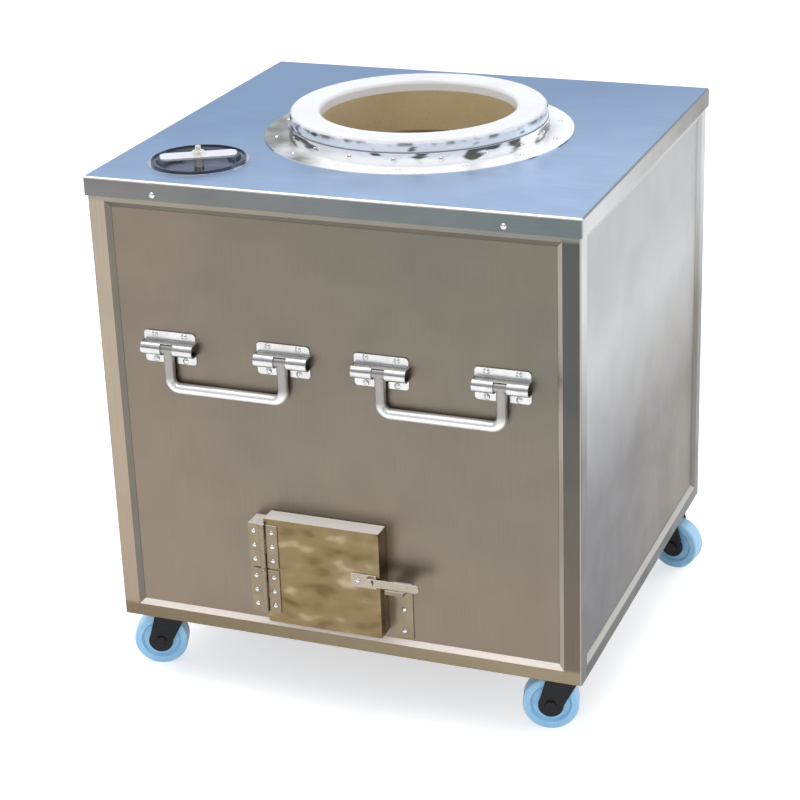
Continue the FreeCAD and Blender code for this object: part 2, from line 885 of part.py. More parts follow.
def hinge_pin(level):
    shaft = cylinder("hinge_pin / 2", "hinge_height + hinge_head_height", "hinge_x", "hinge_y", level)
    top = f"{level} + hinge_height"
    head = cylinder("hinge_barrel / 2", "hinge_head_height", "hinge_x", "hinge_y", top)
    return fuse(shaft, head)


def door_hinges(casing_holes, door_holes):
    """Two butt hinges; blocks bring the casing's leaves out to the face of the door."""
    blocks = group(*[
        box(
            "hinge_leaf - hinge_side_gap",
            "panel_front - door_face",
            "hinge_height",
            "hinge_x - hinge_leaf",
            "door_face",
            level,
        )
        for level in HINGE_LEVELS
    ])
    node("hinge_blocks", cut(blocks, casing_holes))
    fixed = group(*[hinge_leaf(-1, level, (0, 2)) for level in HINGE_LEVELS])
    node("hinge_casing_leaves", cut(fixed, casing_holes))
    moving = group(*[hinge_leaf(1, level, (1,)) for level in HINGE_LEVELS])
    node("hinge_door_leaves", cut(moving, door_holes))
    node("hinge_pins", group(*[hinge_pin(level) for level in HINGE_LEVELS]))


# Latch and keeper

def latch_rivet_spots():
    return [spot("latch_x - latch_rivet_step", "door_face - latch_plate_thick", "latch_z", HEAD_FRONT)]


def latch(pivot_hole, rivet_holes):
    """Plate on the door, a bar that turns on a pivot through it, and the pivot."""
    plate = box(
        "latch_plate_width",
        "latch_plate_thick",
        "latch_plate_height",
        "latch_x - latch_rivet_step / 2 - latch_plate_width / 2",
        "door_face - latch_plate_thick",
        "latch_z - latch_plate_height / 2",
    )
    node("latch_plate", cut(plate, pivot_hole, rivet_holes))
    half = "latch_bar_height / 2"
    straight = box(
        "latch_bar_reach - " + half,
        "latch_bar_thick",
        "latch_bar_height",
        "latch_x",
        "latch_bar_front",
        "latch_z - " + half,
    )
    ends = [
        cylinder(half, "latch_bar_thick", x, "latch_bar_front", "latch_z", LAY_Y)
        for x in ("latch_x", "latch_x + latch_bar_reach - " + half)
    ]
    node("latch_bar", cut(fuse(straight, *ends), pivot_hole))
    head_front = "latch_bar_front - latch_gap - latch_head_height"
    head = cylinder("latch_head / 2", "latch_head_height", "latch_x", head_front, "latch_z", LAY_Y)
    shaft_run = f"door_face + door_sheet - ({head_front})"
    shaft = cylinder("latch_pin / 2", shaft_run, "latch_x", head_front, "latch_z", LAY_Y)
    node("latch_pivot", fuse(head, shaft))


def keeper_rivet_spots():
    x = "keeper_left + keeper_width / 2"
    low = "keeper_bottom + keeper_rivet_low"
    heights = (low, low + " + keeper_rivet_pitch")
    return [spot(x, "panel_front - keeper_sheet", height, HEAD_FRONT) for height in heights]


def latch_keeper(rivet_holes):
    """Upright plate on the panel, with a ledge out to the latch bar and a small lip before it."""
    lip_front = "keeper_lip_back - keeper_sheet"
    under = "keeper_ledge - keeper_sheet"
    tall = "keeper_ledge - keeper_bottom"
    out = f"panel_front - ({lip_front})"
    lip_tall = "keeper_lip_height + keeper_sheet"
    back = "panel_front - keeper_sheet"
    upright = box("keeper_width", "keeper_sheet", tall, "keeper_left", back, "keeper_bottom")
    ledge = box("keeper_width", out, "keeper_sheet", "keeper_left", lip_front, under)
    lip = box("keeper_width", "keeper_sheet", lip_tall, "keeper_left", lip_front, under)
    node("latch_keeper", cut(fuse(upright, ledge, lip), rivet_holes))


# Drop handles

HANDLES = {"left": "-handle_x", "right": "handle_x"}


def bracket_places():
    return [f"{x} + ({side}) * handle_span / 2" for x in HANDLES.values() for side in (-1, 1)]


def bracket_screw_spots():
    return [
        spot(
            f"{x} + ({across}) * bracket_screw_across / 2",
            "panel_front - bracket_sheet",
            f"handle_z + ({up}) * bracket_screw_up / 2",
            HEAD_FRONT,
        )
        for x in bracket_places()
        for across in (-1, 1)
        for up in (-1, 1)
    ]


def bracket(x):
    """Pressed saddle over the handle's pivot, slotted in its lower middle for the leg."""
    left = f"{x} - bracket_width / 2"
    axis_y = "panel_front - pivot_stand"
    low = "handle_z - bracket_height / 2"
    plate = box("bracket_width", "bracket_sheet", "bracket_height", left, "panel_front - bracket_sheet", low)
    plate = round_edges(plate, "bracket_round", lambda edge: runs_along(edge, Y_AXIS))
    hump = cylinder("barrel_outer", "bracket_width", left, axis_y, "handle_z", LAY_X)
    cheeks = box("bracket_width", "pivot_stand", "2 * barrel_outer", left, axis_y, "handle_z - barrel_outer")
    bore = cylinder("barrel_inner", "bracket_width", left, axis_y, "handle_z", LAY_X)
    # The channel runs on past the panel, so that nothing of the hump is left behind the plate
    channel = box(
        "bracket_width",
        "pivot_stand + barrel_outer",
        "2 * barrel_inner",
        left,
        axis_y,
        "handle_z - barrel_inner",
    )
    slot = box(
        "handle_rod + 2 * bracket_slot_gap",
        "pivot_stand + 2 * barrel_outer",
        "bracket_height / 2 + barrel_inner + bracket_slot_gap / 4",
        f"{x} - rod_radius - bracket_slot_gap",
        "panel_front - pivot_stand - 2 * barrel_outer",
        low,
    )
    return cut(fuse(plate, hump, cheeks), fuse(bore, channel), slot)


def bail(x):
    """Round-bar handle: a grip, two bends, two legs and a cross pin at the top of each leg."""
    axis_y = "panel_front - pivot_stand"
    grip_z = "handle_z - handle_drop"
    bend_z = grip_z + " + handle_bend"
    grip_left = f"{x} - handle_span / 2 + handle_bend"
    pieces = [cylinder("rod_radius", "handle_span - 2 * handle_bend", grip_left, axis_y, grip_z, LAY_X)]
    for side, quarter in ((-1, 180), (1, 90)):
        leg_x = f"{x} + ({side}) * handle_span / 2"
        pin_left = f"{leg_x} - handle_pin_length / 2"
        pieces.append(cylinder("rod_radius", "handle_drop - handle_bend", leg_x, axis_y, bend_z))
        pieces.append(cylinder("rod_radius", "handle_pin_length", pin_left, axis_y, "handle_z", LAY_X))
        bend = doc.addObject("Part::Torus", "Bend")
        bind(bend, Radius1="handle_bend", Radius2="rod_radius")
        bend.Angle3 = 90
        turn = FreeCAD.Rotation(Y_AXIS, quarter).multiply(FreeCAD.Rotation(X_AXIS, 90))
        pieces.append(place(bend, f"{leg_x} - ({side}) * handle_bend", axis_y, bend_z, turn))
    return fuse(*pieces)


def handles(screw_holes):
    node("handle_brackets", cut(group(*[bracket(x) for x in bracket_places()]), screw_holes))
    for side, x in HANDLES.items():
        node(side + "_handle", bail(x))


# Vent

def vent():
    """Sleeve in the cover and a sunk pan that lids it, lifted by a strip on a bolt."""
    sleeve = turned([
        ("vent_radius", "-vent_sleeve_depth"),
        ("vent_radius + vent_sheet", "-vent_sleeve_depth"),
        ("vent_radius + vent_sheet", "0"),
        ("vent_radius + vent_flange", "0"),
        ("vent_radius + vent_flange", "vent_sheet"),
        ("vent_radius", "vent_sheet"),
    ])
    node("vent_sleeve", place(sleeve, "vent_x", "vent_y", "cover_top"))
    bolt_bore = "vent_bolt / 2 + vent_bolt_fit"
    pan_radius = "plug_radius - vent_pan_slope"
    lid = turned([
        (bolt_bore, "-vent_pan_depth"),
        (pan_radius, "-vent_pan_depth"),
        ("plug_radius", "0"),
        ("lid_radius", "0"),
        ("lid_radius", "vent_lid_edge"),
        ("lid_radius - vent_lid_sheet", "vent_lid_edge"),
        ("lid_radius - vent_lid_sheet", "vent_lid_sheet"),
        ("plug_radius - vent_lid_sheet", "vent_lid_sheet"),
        (pan_radius + " - vent_lid_sheet", "vent_lid_sheet - vent_pan_depth"),
        (bolt_bore, "vent_lid_sheet - vent_pan_depth"),
    ])
    node("vent_lid", place(lid, "vent_x", "vent_y", "vent_top"))
    strip_left = "-vent_strip_length / 2"
    strip_front = "-vent_strip_width / 2"
    strip = box("vent_strip_length", "vent_strip_width", "vent_strip_thick", strip_left, strip_front)
    strip = round_edges(strip, "vent_strip_width / 3", lambda edge: runs_along(edge, Z_AXIS))
    strip = cut(strip, cylinder(bolt_bore, "3 * vent_strip_thick", "0", "0", "-vent_strip_thick"))
    place(strip, "vent_x", "vent_y", "lid_floor + vent_strip_lift")
    bind(strip, **{"Placement.Rotation.Angle": "vent_strip_angle"})
    node("vent_lid_strip", strip)
    strip_top = "vent_strip_lift + vent_strip_thick"
    nut_top = strip_top + " + vent_bolt_nut_height"
    bolt = turned([
        ("0", "-vent_lid_sheet - vent_bolt_nut_height"),
        ("vent_bolt_collar / 2", "-vent_lid_sheet - vent_bolt_nut_height"),
        ("vent_bolt_collar / 2", "-vent_lid_sheet"),
        ("vent_bolt / 2", "-vent_lid_sheet"),
        ("vent_bolt / 2", "0"),
        ("vent_bolt_collar / 2", "0"),
        ("vent_bolt_collar / 2", "vent_strip_lift"),
        ("vent_bolt / 2", "vent_strip_lift"),
        ("vent_bolt / 2", strip_top),
        ("vent_bolt_nut / 2", strip_top),
        ("vent_bolt_nut / 2", nut_top),
        ("vent_bolt / 2", nut_top),
        ("vent_bolt / 2", nut_top + " + vent_bolt_tip"),
        ("0", nut_top + " + vent_bolt_tip"),
    ])
    node("vent_lid_bolt", place(bolt, "vent_x", "vent_y", "lid_floor"))


# Castors

CASTERS = {
    "front_left": ("-caster_x", "caster_front_y"),
    "front_right": ("caster_x", "caster_front_y"),
    "rear_left": ("-caster_x", "caster_rear_y"),
    "rear_right": ("caster_x", "caster_rear_y"),
}


def caster_bolt_spots():
    return [
        spot(
            f"{x} + ({across}) * caster_bolt_across / 2",
            f"{y} + ({along}) * caster_bolt_along / 2",
            "caster_height - caster_plate_thick",
            HEAD_DOWN,
        )
        for x, y in CASTERS.values()
        for across in (-1, 1)
        for along in (-1, 1)
    ]


def caster_plate(x, y):
    """Bolted plate with the upper race and the kingpin, whose head holds the fork."""
    plate = box(
        "caster_plate_width",
        "caster_plate_length",
        "caster_plate_thick",
        f"{x} - caster_plate_width / 2",
        f"{y} - caster_plate_length / 2",
        "caster_height - caster_plate_thick",
    )
    race = cylinder("race_diameter / 2", "race_height", x, y, "race_bottom")
    head_top = "fork_under - kingpin_head_gap"
    head_low = f"{head_top} - kingpin_head_height"
    stem = cylinder("kingpin / 2", f"race_bottom - ({head_low})", x, y, head_low)
    head = cylinder("kingpin_head / 2", "kingpin_head_height", x, y, head_low)
    return fuse(plate, race, stem, head)


def swivelled(piece, name):
    """Move a piece made about the swivel axis to its castor, turned to where it stands."""
    place(piece, *CASTERS[name])
    return bind(piece, **{"Placement.Rotation.Angle": name + "_swivel_angle"})


def fork_leg(side):
    """Tapered cheek from the crown down to a round boss at the axle."""
    boss = "fork_leg_boss / 2"
    inner = "leg_inner" if side > 0 else "-leg_outer"
    cheek = padded(
        "XZ_Plane",
        [
            ("-caster_trail - " + boss, "axle_z"),
            ("-caster_trail + " + boss, "axle_z"),
            ("fork_leg_lead", "fork_top"),
            ("-fork_crown / 2", "fork_top"),
        ],
        "fork_leg",
    )
    # The outline's plane pushes towards -Y, so the cheek starts at its far face
    place(cheek, "0", inner + " + fork_leg", "0")
    return fuse(cheek, axle_rod(boss, "fork_leg", inner))


def axle_rod(radius, length, y):
    return cylinder(radius, length, "-caster_trail", y, "axle_z", LAY_Y)


def caster(name):
    """Fork, axle, wheel and tyre, made about the swivel axis and trailing to -X."""
    crown = cylinder("fork_crown / 2", "fork_sheet", "0", "0", "fork_under")
    swivel_bore = cylinder("kingpin / 2 + kingpin_fit", "fork_sheet", "0", "0", "fork_under")
    axle_run = "2 * leg_outer"
    axle_bore = axle_rod("axle_diameter / 2 + axle_fit", axle_run, "-leg_outer")
    fork = cut(fuse(crown, fork_leg(-1), fork_leg(1)), group(swivel_bore, axle_bore))
    node("caster_fork_" + name, swivelled(fork, name))
    axle = fuse(
        axle_rod("axle_diameter / 2", axle_run, "-leg_outer"),
        axle_rod("axle_head / 2", "axle_head_height", "leg_outer"),
        axle_rod("axle_head / 2", "axle_head_height", "-leg_outer - axle_head_height"),
    )
    node("caster_axle_" + name, swivelled(axle, name))
    half = "wheel_width / 2"
    hub_half = "(leg_inner - hub_gap)"
    hub = "hub_diameter / 2"
    dish = "tyre_inner - web_rim"
    bore = "axle_diameter / 2 + axle_fit"
    web = f"{half} - web_inset"
    wheel = turned([
        (bore, "-" + hub_half),
        (hub, "-" + hub_half),
        (hub, f"-({web})"),
        (dish + " - web_slope", f"-({web})"),
        (dish, f"-({half})"),
        ("tyre_inner", f"-({half})"),
        ("tyre_inner", half),
        (dish, half),
        (dish + " - web_slope", web),
        (hub, web),
        (hub, hub_half),
        (bore, hub_half),
    ])
    tyre = turned([
        ("tyre_inner", f"-({half})"),
        ("axle_z - tyre_chamfer", f"-({half})"),
        ("axle_z", f"-({half} - tyre_chamfer)"),
        ("axle_z", f"{half} - tyre_chamfer"),
        ("axle_z - tyre_chamfer", half),
        ("tyre_inner", half),
    ])
    for label, piece in (("caster_wheel_", wheel), ("caster_tyre_", tyre)):
        place(piece, "-caster_trail", "0", "axle_z", LAY_Y)
        node(label + name, swivelled(group(piece), name))


# The whole object

def build():
    fill_sheets()
    posts = group(*[corner_post(count, name) for count, name in enumerate(CORNERS)])

    lip_grip = "cover_sheet + cover_gap + frame_wall"
    screw_holes = fasten("top_cover_screws", "screw", (lip_grip, lip_screw_spots()))
    bolt_holes = fasten("caster_bolts", "bolt", ("caster_plate_thick + frame_wall", caster_bolt_spots()))
    frames(posts, bolt_holes, screw_holes)

    flange_circle = "collar_outer + flange_width / 2"
    flange_spots = ring_spots("flange_rivet_count", flange_circle, "cover_top + flange_sheet", HEAD_UP)
    flange_holes = fasten("flange_rivets", "rivet", ("flange_sheet + cover_sheet", flange_spots))
    band_level = "cover_top + (collar_height + flange_sheet) / 2"
    band_spots = ring_spots("band_rivet_count", "collar_outer", band_level, HEAD_RIGHT)
    band_holes = fasten("band_rivets", "rivet", ("collar_sheet + collar_fit + band_sheet", band_spots))
    top_cover(flange_holes, screw_holes)
    mouth(flange_holes, band_holes)

    clay_pot()
    pot_base_ring()
    hearth()
    charcoal_grate()
    ash_tunnel()

    bracket_grip = "bracket_sheet + panel_sheet + screw_tail"
    bracket_holes = fasten("handle_screws", "screw", (bracket_grip, bracket_screw_spots()))
    handles(bracket_holes)

    casing_holes = fasten(
        "casing_rivets",
        "rivet",
        ("hinge_sheet + hinge_rivet_hold", hinge_rivet_spots(-1)),
        ("keeper_sheet + panel_sheet", keeper_rivet_spots()),
    )
    door_holes = fasten(
        "door_rivets",
        "rivet",
        ("hinge_sheet + door_sheet", hinge_rivet_spots(1)),
        ("latch_plate_thick + door_sheet", latch_rivet_spots()),
    )
    pivot_front = "door_face - door_depth"
    pivot_bore = "latch_pin / 2 + latch_fit"
    pivot_hole = cylinder(pivot_bore, "2 * door_depth", "latch_x", pivot_front, "latch_z", LAY_Y)
    ash_door(door_holes, pivot_hole)
    door_hinges(casing_holes, door_holes)
    latch(pivot_hole, door_holes)
    latch_keeper(casing_holes)
    casing_panels([bracket_holes, casing_holes])

    vent()
    node("caster_plates", cut(group(*[caster_plate(*at) for at in CASTERS.values()]), bolt_holes))
    for name in CASTERS:
        caster(name)
    doc.recompute()


def export():
    """Check every object, then write one file for each piece."""
    faults = [thing.Label for thing in doc.Objects if {"Invalid", "Error"} & set(thing.State)]
    if faults:
        raise RuntimeError("failed objects: " + ", ".join(faults))
    for label, piece in NODES.items():
        if piece.Shape.isNull() or not piece.Shape.isValid() or not piece.Shape.Solids:
            raise RuntimeError("bad shape: " + label)
    os.makedirs("parts", exist_ok=True)
    for label, piece in NODES.items():
        piece.Shape.exportStep(f"parts/{label}.step")
        print(label, len(piece.Shape.Solids), round(piece.Shape.Volume))


build()
export()
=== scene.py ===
import json
import math
from functools import reduce

import bmesh
import bpy
from mathutils import Matrix, Vector, noise


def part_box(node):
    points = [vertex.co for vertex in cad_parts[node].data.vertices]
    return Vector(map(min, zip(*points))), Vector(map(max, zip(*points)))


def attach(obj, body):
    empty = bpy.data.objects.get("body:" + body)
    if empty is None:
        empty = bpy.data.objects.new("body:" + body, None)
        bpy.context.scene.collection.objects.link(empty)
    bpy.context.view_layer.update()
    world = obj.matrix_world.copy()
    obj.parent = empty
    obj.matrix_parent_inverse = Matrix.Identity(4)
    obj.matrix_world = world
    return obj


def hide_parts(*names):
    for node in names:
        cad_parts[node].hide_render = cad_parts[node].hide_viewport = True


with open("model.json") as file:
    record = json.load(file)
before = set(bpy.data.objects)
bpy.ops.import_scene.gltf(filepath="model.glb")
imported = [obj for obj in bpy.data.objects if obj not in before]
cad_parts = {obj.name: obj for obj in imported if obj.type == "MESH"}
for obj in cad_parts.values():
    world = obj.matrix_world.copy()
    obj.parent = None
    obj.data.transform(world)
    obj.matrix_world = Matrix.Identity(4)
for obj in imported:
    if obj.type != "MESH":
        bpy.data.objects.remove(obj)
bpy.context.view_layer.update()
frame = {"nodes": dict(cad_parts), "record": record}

# Looks of a square charcoal tandoor on castors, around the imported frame. Metres, +Z up, front at -Y.

NODES = frame["nodes"]
JOINTS = {joint["name"]: joint for joint in frame["record"]["behaviour"]["joints"]}
CORNERS = ("front_left", "front_right", "rear_left", "rear_right")


def middle(name):
    """Middle of a node's box."""
    low, high = (Vector(corner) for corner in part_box(name))
    return (low + high) / 2


# Places in the frame
MOUTH = middle("rim_ring")
CASING = middle("base_frame")
BASE_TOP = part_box("base_frame")[1][2]
TOP_RAIL_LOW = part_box("top_frame")[0][2]
COLLAR_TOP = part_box("mouth_flange")[1][2]
BAND_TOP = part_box("collar_band")[1][2]
GRIP_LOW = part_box("left_handle")[0][2]

# Camera, at the photograph's angle and for its 800 pixel square frame
CAMERA_PLACE = Vector((1.0963, -2.7788, 1.6169))
CAMERA_AZIMUTH = math.radians(22.027)
CAMERA_ELEVATION = math.radians(22.738)
CAMERA_ROLL = math.radians(2.079)
IMAGE_PIXELS = 800
FOCAL_PIXELS = 2163.4
SENSOR_MM = 36

# Stage: the sky's colours by height, and the dim quarter's colour with its fades to the front and upwards
FLOOR_SIZE = 60
FLOOR_COLOUR = (0.86, 0.86, 0.86, 1)
FLOOR_GLOW = 0.52
SKY_STRENGTH = 0.9
SKY_STOPS = (
    (0.00, (0.86, 0.87, 0.88)),
    (0.12, (0.78, 0.83, 0.90)),
    (0.35, (0.60, 0.70, 0.88)),
    (0.65, (0.86, 0.87, 0.90)),
    (1.00, (0.82, 0.86, 0.93)),
)
DIM_COLOUR = (0.16, 0.13, 0.10, 1)
DIM_FORWARD = (-0.25, -0.75)
DIM_UPWARD = (0.45, 0.22)

# Tones of the front sheet, posts and rails: one steel, with painted reflection, highlight and shade on each
# face
# The front sheet is the same steel as the sides, kept darker as painted shade; its taupes are painted
# reflection
GREY_TAUPE = (0.172, 0.156, 0.124, 1)
WARM_TAUPE = (0.268, 0.207, 0.154, 1)
# Posts: painted light on the left ones, painted shade on the right ones, each changing tone towards the
# foot
LEFT_POST = (0.385, 0.318, 0.242, 1)
LEFT_POST_LOW = (0.315, 0.245, 0.180, 1)
RIGHT_POST = (0.084, 0.085, 0.080, 1)
RIGHT_POST_LOW = (0.146, 0.119, 0.090, 1)
# Painted highlight on the bevels of the right posts
RIGHT_BEVEL_HIGHLIGHT = (0.380, 0.335, 0.285, 1)
SHADE = (0.165, 0.148, 0.120, 1)
# Rails: faces paler to the right as painted reflection, under a painted highlight on the bevel
RAIL_LEFT = (0.180, 0.142, 0.088, 1)
RAIL_RIGHT = (0.262, 0.214, 0.142, 1)
RAIL_BEVEL_HIGHLIGHT = (0.965, 0.868, 0.755, 1)
# Top rails: paler to the left as painted reflection
TOP_RAIL_LEFT = (0.300, 0.272, 0.208, 1)
TOP_RAIL_RIGHT = (0.215, 0.212, 0.184, 1)

# Tones of the sides: painted reflection with a painted sheen across the middle, and painted shade and
# highlight on rails and posts
SIDE_TOP = (0.388, 0.384, 0.374, 1)
SIDE_SHEEN = (0.428, 0.424, 0.414, 1)
SIDE_COOL = (0.150, 0.145, 0.147, 1)
SIDE_WARM = (0.205, 0.178, 0.142, 1)
# Side faces of the base rails in painted shade, with a painted highlight on their bevels
SIDE_RAIL_SHADE = (0.060, 0.057, 0.050, 1)
SIDE_BEVEL_HIGHLIGHT = (0.480, 0.460, 0.405, 1)
# Sides of the posts: painted sheen above, painted shade below
POST_PALE = (0.450, 0.454, 0.450, 1)
POST_SIDE_LOW = (0.104, 0.099, 0.090, 1)

# Tones of the cover: painted reflection of the blue sky on top and round the lip, and a painted highlight
# on the front fold
SKY_REFLECTION_BLUE = (0.290, 0.410, 0.580, 1)
PALE_REFLECTION_BLUE = (0.485, 0.610, 0.785, 1)
LIP_LEFT = (0.205, 0.200, 0.190, 1)
LIP_RIGHT = (0.150, 0.178, 0.180, 1)
LIP_SIDE = (0.500, 0.500, 0.490, 1)
LIP_FAR = (0.185, 0.166, 0.142, 1)
# Painted highlight on the cover's front fold and on the upper faces of the door, hinges and latch
EDGE_HIGHLIGHT = (0.980, 0.920, 0.830, 1)
# Folds away from the front, in a darker painted reflection
FOLD_REFLECTION = (0.260, 0.265, 0.275, 1)

# Bright steel: how much it is metal, what its haze adds to its roughness, the soft edge of its patches of
# painted reflection, and tones
CHROME_METAL = 0.45
HAZE_DULL = 0.08
PATCH_EDGE = 0.08
GRIP_LIGHT = (0.860, 0.840, 0.810, 1)
# Legs of the grips, darker as a painted reflection of the panel
LEG_REFLECTION = (0.330, 0.312, 0.285, 1)
CHROME_LIGHT = (0.950, 0.945, 0.940, 1)
# Dark patches of painted reflection on the collar and band
CHROME_REFLECTED_DARK = (0.110, 0.105, 0.100, 1)
# Grey of the flange's painted reflection on its left
FLANGE_REFLECTED_GREY = (0.310, 0.305, 0.275, 1)
DOOR_STOPS = (
    (0.28, (0.130, 0.092, 0.043)),
    (0.44, (0.198, 0.144, 0.072)),
    (0.60, (0.222, 0.164, 0.086)),
    (0.76, (0.370, 0.295, 0.180)),
)

# Tones of the white ring and the grate
RING_WHITE = (0.775, 0.770, 0.782, 1)
RING_CLOUD = (0.685, 0.680, 0.695, 1)
RING_SPECK = (0.420, 0.410, 0.400, 1)
# Walls of the ring painted lighter, as painted light against their shade
RING_WALL_LIT = (0.920, 0.905, 0.890, 1)
IRON = (0.035, 0.034, 0.033, 1)
ASH = (0.200, 0.180, 0.160, 1)

# Places along X, Y and Z between which one tone of painted reflection and shade passes into the next, and
# the slant of that on the cover
SIDE_REACH = 0.3
FRONT_SLOPE = (0.05, 0.85)
SIDE_RUN = (-0.20, 0.30)
SHEEN_RISE = (0.340, 0.545)
SHEEN_END = (0.56, 0.63)
POST_FALL = (0.55, 0.12)
POST_SIDE_FALL = (0.64, 0.44)
LIP_RUN = (-0.25, 0.30)
TOP_SLANT = 0.8
TOP_RUN = (-0.18, 0.36)
FLANGE_REFLECTION_RUN = (-0.16, -0.04)

# Fades near an edge, as distances from it
FOOT_FADE = (-0.004, -0.010)
HEAD_FADE = (0.006, 0.012)
LEG_FADE = (0.012, 0.024)
RIM_FADE = (-0.006, -0.002)
SEAM_SHADE_FADE = (0.003, 0.001)

# How far a face looks up, to the side or to the rear where it counts as a bevel, fold, edge, side or top
BEVEL_UP = (0.20, 0.45)
BEVEL_DOWN = (-0.20, -0.45)
FOLD_UP = (0.05, 0.30)
FOLD_BACK = (-0.30, -0.10)
COVER_UP = (0.80, 0.97)
EDGE_UP = (0.40, 0.80)
DOOR_UP = (0.30, 0.80)
FLANGE_UP = (0.60, 0.90)
RING_UP = (0.60, 0.30)
RAIL_ASIDE = (0.30, 0.70)
LIP_ASIDE = (0.30, 0.90)
POST_BEVEL = (0.15, 0.45)
POST_ASIDE = (0.60, 0.95)

# Noise: how fine it is along X, Y and Z or round the mouth, and the part of its spread that is used
UPRIGHT_GRAIN = (900, 900, 14)
LEVEL_GRAIN = (14, 900, 900)
DOOR_GRAIN = (24, 24, 46)
COLLAR_PATCHES = (3.6, 38, 1)
BAND_PATCHES = (4.5, 60, 1)
BAND_DASHES = (6, 30, 1)
CHROME_STREAKS = (5, 170, 1)
NOISE_SPREAD = (0.30, 0.70)
GRAIN_SPREAD = (0.25, 0.75)
HAZE_SPREAD = (0.35, 0.75)

# Door sheet: its thickness, the round of its folds, and the dents' depth, fade and two sizes
DOOR_SHEET = 0.002
DOOR_ROUND = 0.002
DOOR_WAVE = 0.0016
DOOR_FADE = 0.012
DOOR_STEPS = 44
DENT_LEVEL = 0.5
BROAD_DENTS = {"across": 22, "layer": 3.1, "up": 30, "share": 0.55}
SMALL_DENTS = {"across": 55, "layer": 7.7, "up": 70, "share": 0.25}

# Screws and axle bolts
ROUND_STEPS = 32
RECESS_WIDTH = 0.0013
RECESS_REACH = 0.0027
RECESS_DEPTH = 0.0013
HEAD_HEIGHT = 2 * RECESS_DEPTH
SHANK_LENGTH = 0.006
SHANK_SHARE = 0.55
DOME_TURNS = (0.35, 0.7, 1.05, 1.3)
AXLE_RADIUS = 0.0050
WASHER_RADIUS = 0.0080
WASHER_THICKNESS = 0.0008
NUT_SIDES = 6
NUT_ACROSS = 0.0145
NUT_CORNER = NUT_ACROSS / 2 / math.cos(math.pi / NUT_SIDES)
NUT_STAND = 0.0030
NUT_CHAMFER = 0.0006
NUT_TOP_SHARE = 0.9

# Meshes, and the softened edges that their materials show
WELD_DISTANCE = 1e-6
SHARP_ANGLE = math.radians(32)
EDGE_SAMPLES = 4


# Camera, floor and light

def new_object(name, data):
    """New object in the scene."""
    thing = bpy.data.objects.new(name, data)
    bpy.context.scene.collection.objects.link(thing)
    return thing


def add_camera():
    """Camera that looks along the photograph's azimuth and elevation, with its roll."""
    forward = Vector((
        -math.sin(CAMERA_AZIMUTH) * math.cos(CAMERA_ELEVATION),
        math.cos(CAMERA_AZIMUTH) * math.cos(CAMERA_ELEVATION),
        -math.sin(CAMERA_ELEVATION),
    ))
    right = forward.cross(Vector((0, 0, 1))).normalized()
    down = forward.cross(right)
    across = right * math.cos(CAMERA_ROLL) + down * math.sin(CAMERA_ROLL)
    up = right * math.sin(CAMERA_ROLL) - down * math.cos(CAMERA_ROLL)
    data = bpy.data.cameras.new("camera")
    data.sensor_width = SENSOR_MM
    data.lens = SENSOR_MM * FOCAL_PIXELS / IMAGE_PIXELS
    data.clip_end = 2 * FLOOR_SIZE
    camera = new_object("camera", data)
    turn = Matrix((across, up, -forward)).transposed().to_4x4()
    camera.matrix_world = Matrix.Translation(CAMERA_PLACE) @ turn
    bpy.context.scene.camera = camera


def add_floor():
    half = FLOOR_SIZE / 2
    mesh = bpy.data.meshes.new("floor")
    corners = [(-half, -half, 0), (half, -half, 0), (half, half, 0), (-half, half, 0)]
    mesh.from_pydata(corners, [], [(0, 1, 2, 3)])
    mesh.materials.append(floor_paint())
    new_object("floor", mesh)


def add_lamp(name, place, aim, size, watts, mirrored=True):
    """Square lamp that shines at a point, and may be left out of what metal mirrors."""
    data = bpy.data.lights.new(name, "AREA")
    data.shape = "SQUARE"
    data.size = size
    data.energy = watts
    lamp = new_object(name, data)
    lamp.location = place
    lamp.rotation_euler = (Vector(aim) - Vector(place)).to_track_quat("-Z", "Y").to_euler()
    lamp.visible_glossy = mirrored


def add_world():
    """Soft sky, white low down, blue half-way up and pale overhead, with a dim warm quarter in front."""
    world = bpy.data.worlds.new("sky")
    world.use_nodes = True
    bpy.context.scene.world = world
    tree = world.node_tree
    tree.nodes.clear()
    direction = parts_of(tree, make(tree, "ShaderNodeTexCoord").outputs["Generated"])
    sky = ramp(tree, direction["Z"], SKY_STOPS)
    ahead = span(tree, direction["Y"], *DIM_FORWARD)
    low = span(tree, direction["Z"], *DIM_UPWARD)
    colour = mix(tree, math_node(tree, "MULTIPLY", ahead, low), sky, DIM_COLOUR)
    background = make(tree, "ShaderNodeBackground", {"Color": colour, "Strength": SKY_STRENGTH})
    output = make(tree, "ShaderNodeOutputWorld")
    tree.links.new(background.outputs[0], output.inputs[0])


# Node helpers

def feed(tree, socket, value):
    """Link a value that is a socket, and set any other on the socket."""
    if isinstance(value, bpy.types.NodeSocket):
        tree.links.new(value, socket)
    else:
        socket.default_value = value


def make(tree, kind, inputs=None, **settings):
    """New node with its settings and inputs."""
    node = tree.nodes.new(kind)
    for key, value in settings.items():
        setattr(node, key, value)
    for key, value in (inputs or {}).items():
        feed(tree, node.inputs[key], value)
    return node


def wire(tree, shader, **inputs):
    """Feed the shader's inputs, named with underscores for spaces."""
    for key, value in inputs.items():
        feed(tree, shader.inputs[key.replace("_", " ")], value)


def math_node(tree, operation, *values):
    return make(tree, "ShaderNodeMath", dict(enumerate(values)), operation=operation).outputs[0]


def fold_nodes(tree, operation, *values):
    """Result of an operation over several values, two at a time."""
    return reduce(lambda first, second: math_node(tree, operation, first, second), values)


def mix(tree, factor, first, second, kind="MIX"):
    """Mix of two colours, whose factor and colours are the node's inputs 0, 6 and 7."""
    node = make(tree, "ShaderNodeMix", {0: factor, 6: first, 7: second}, data_type="RGBA", blend_type=kind)
    return node.outputs[2]


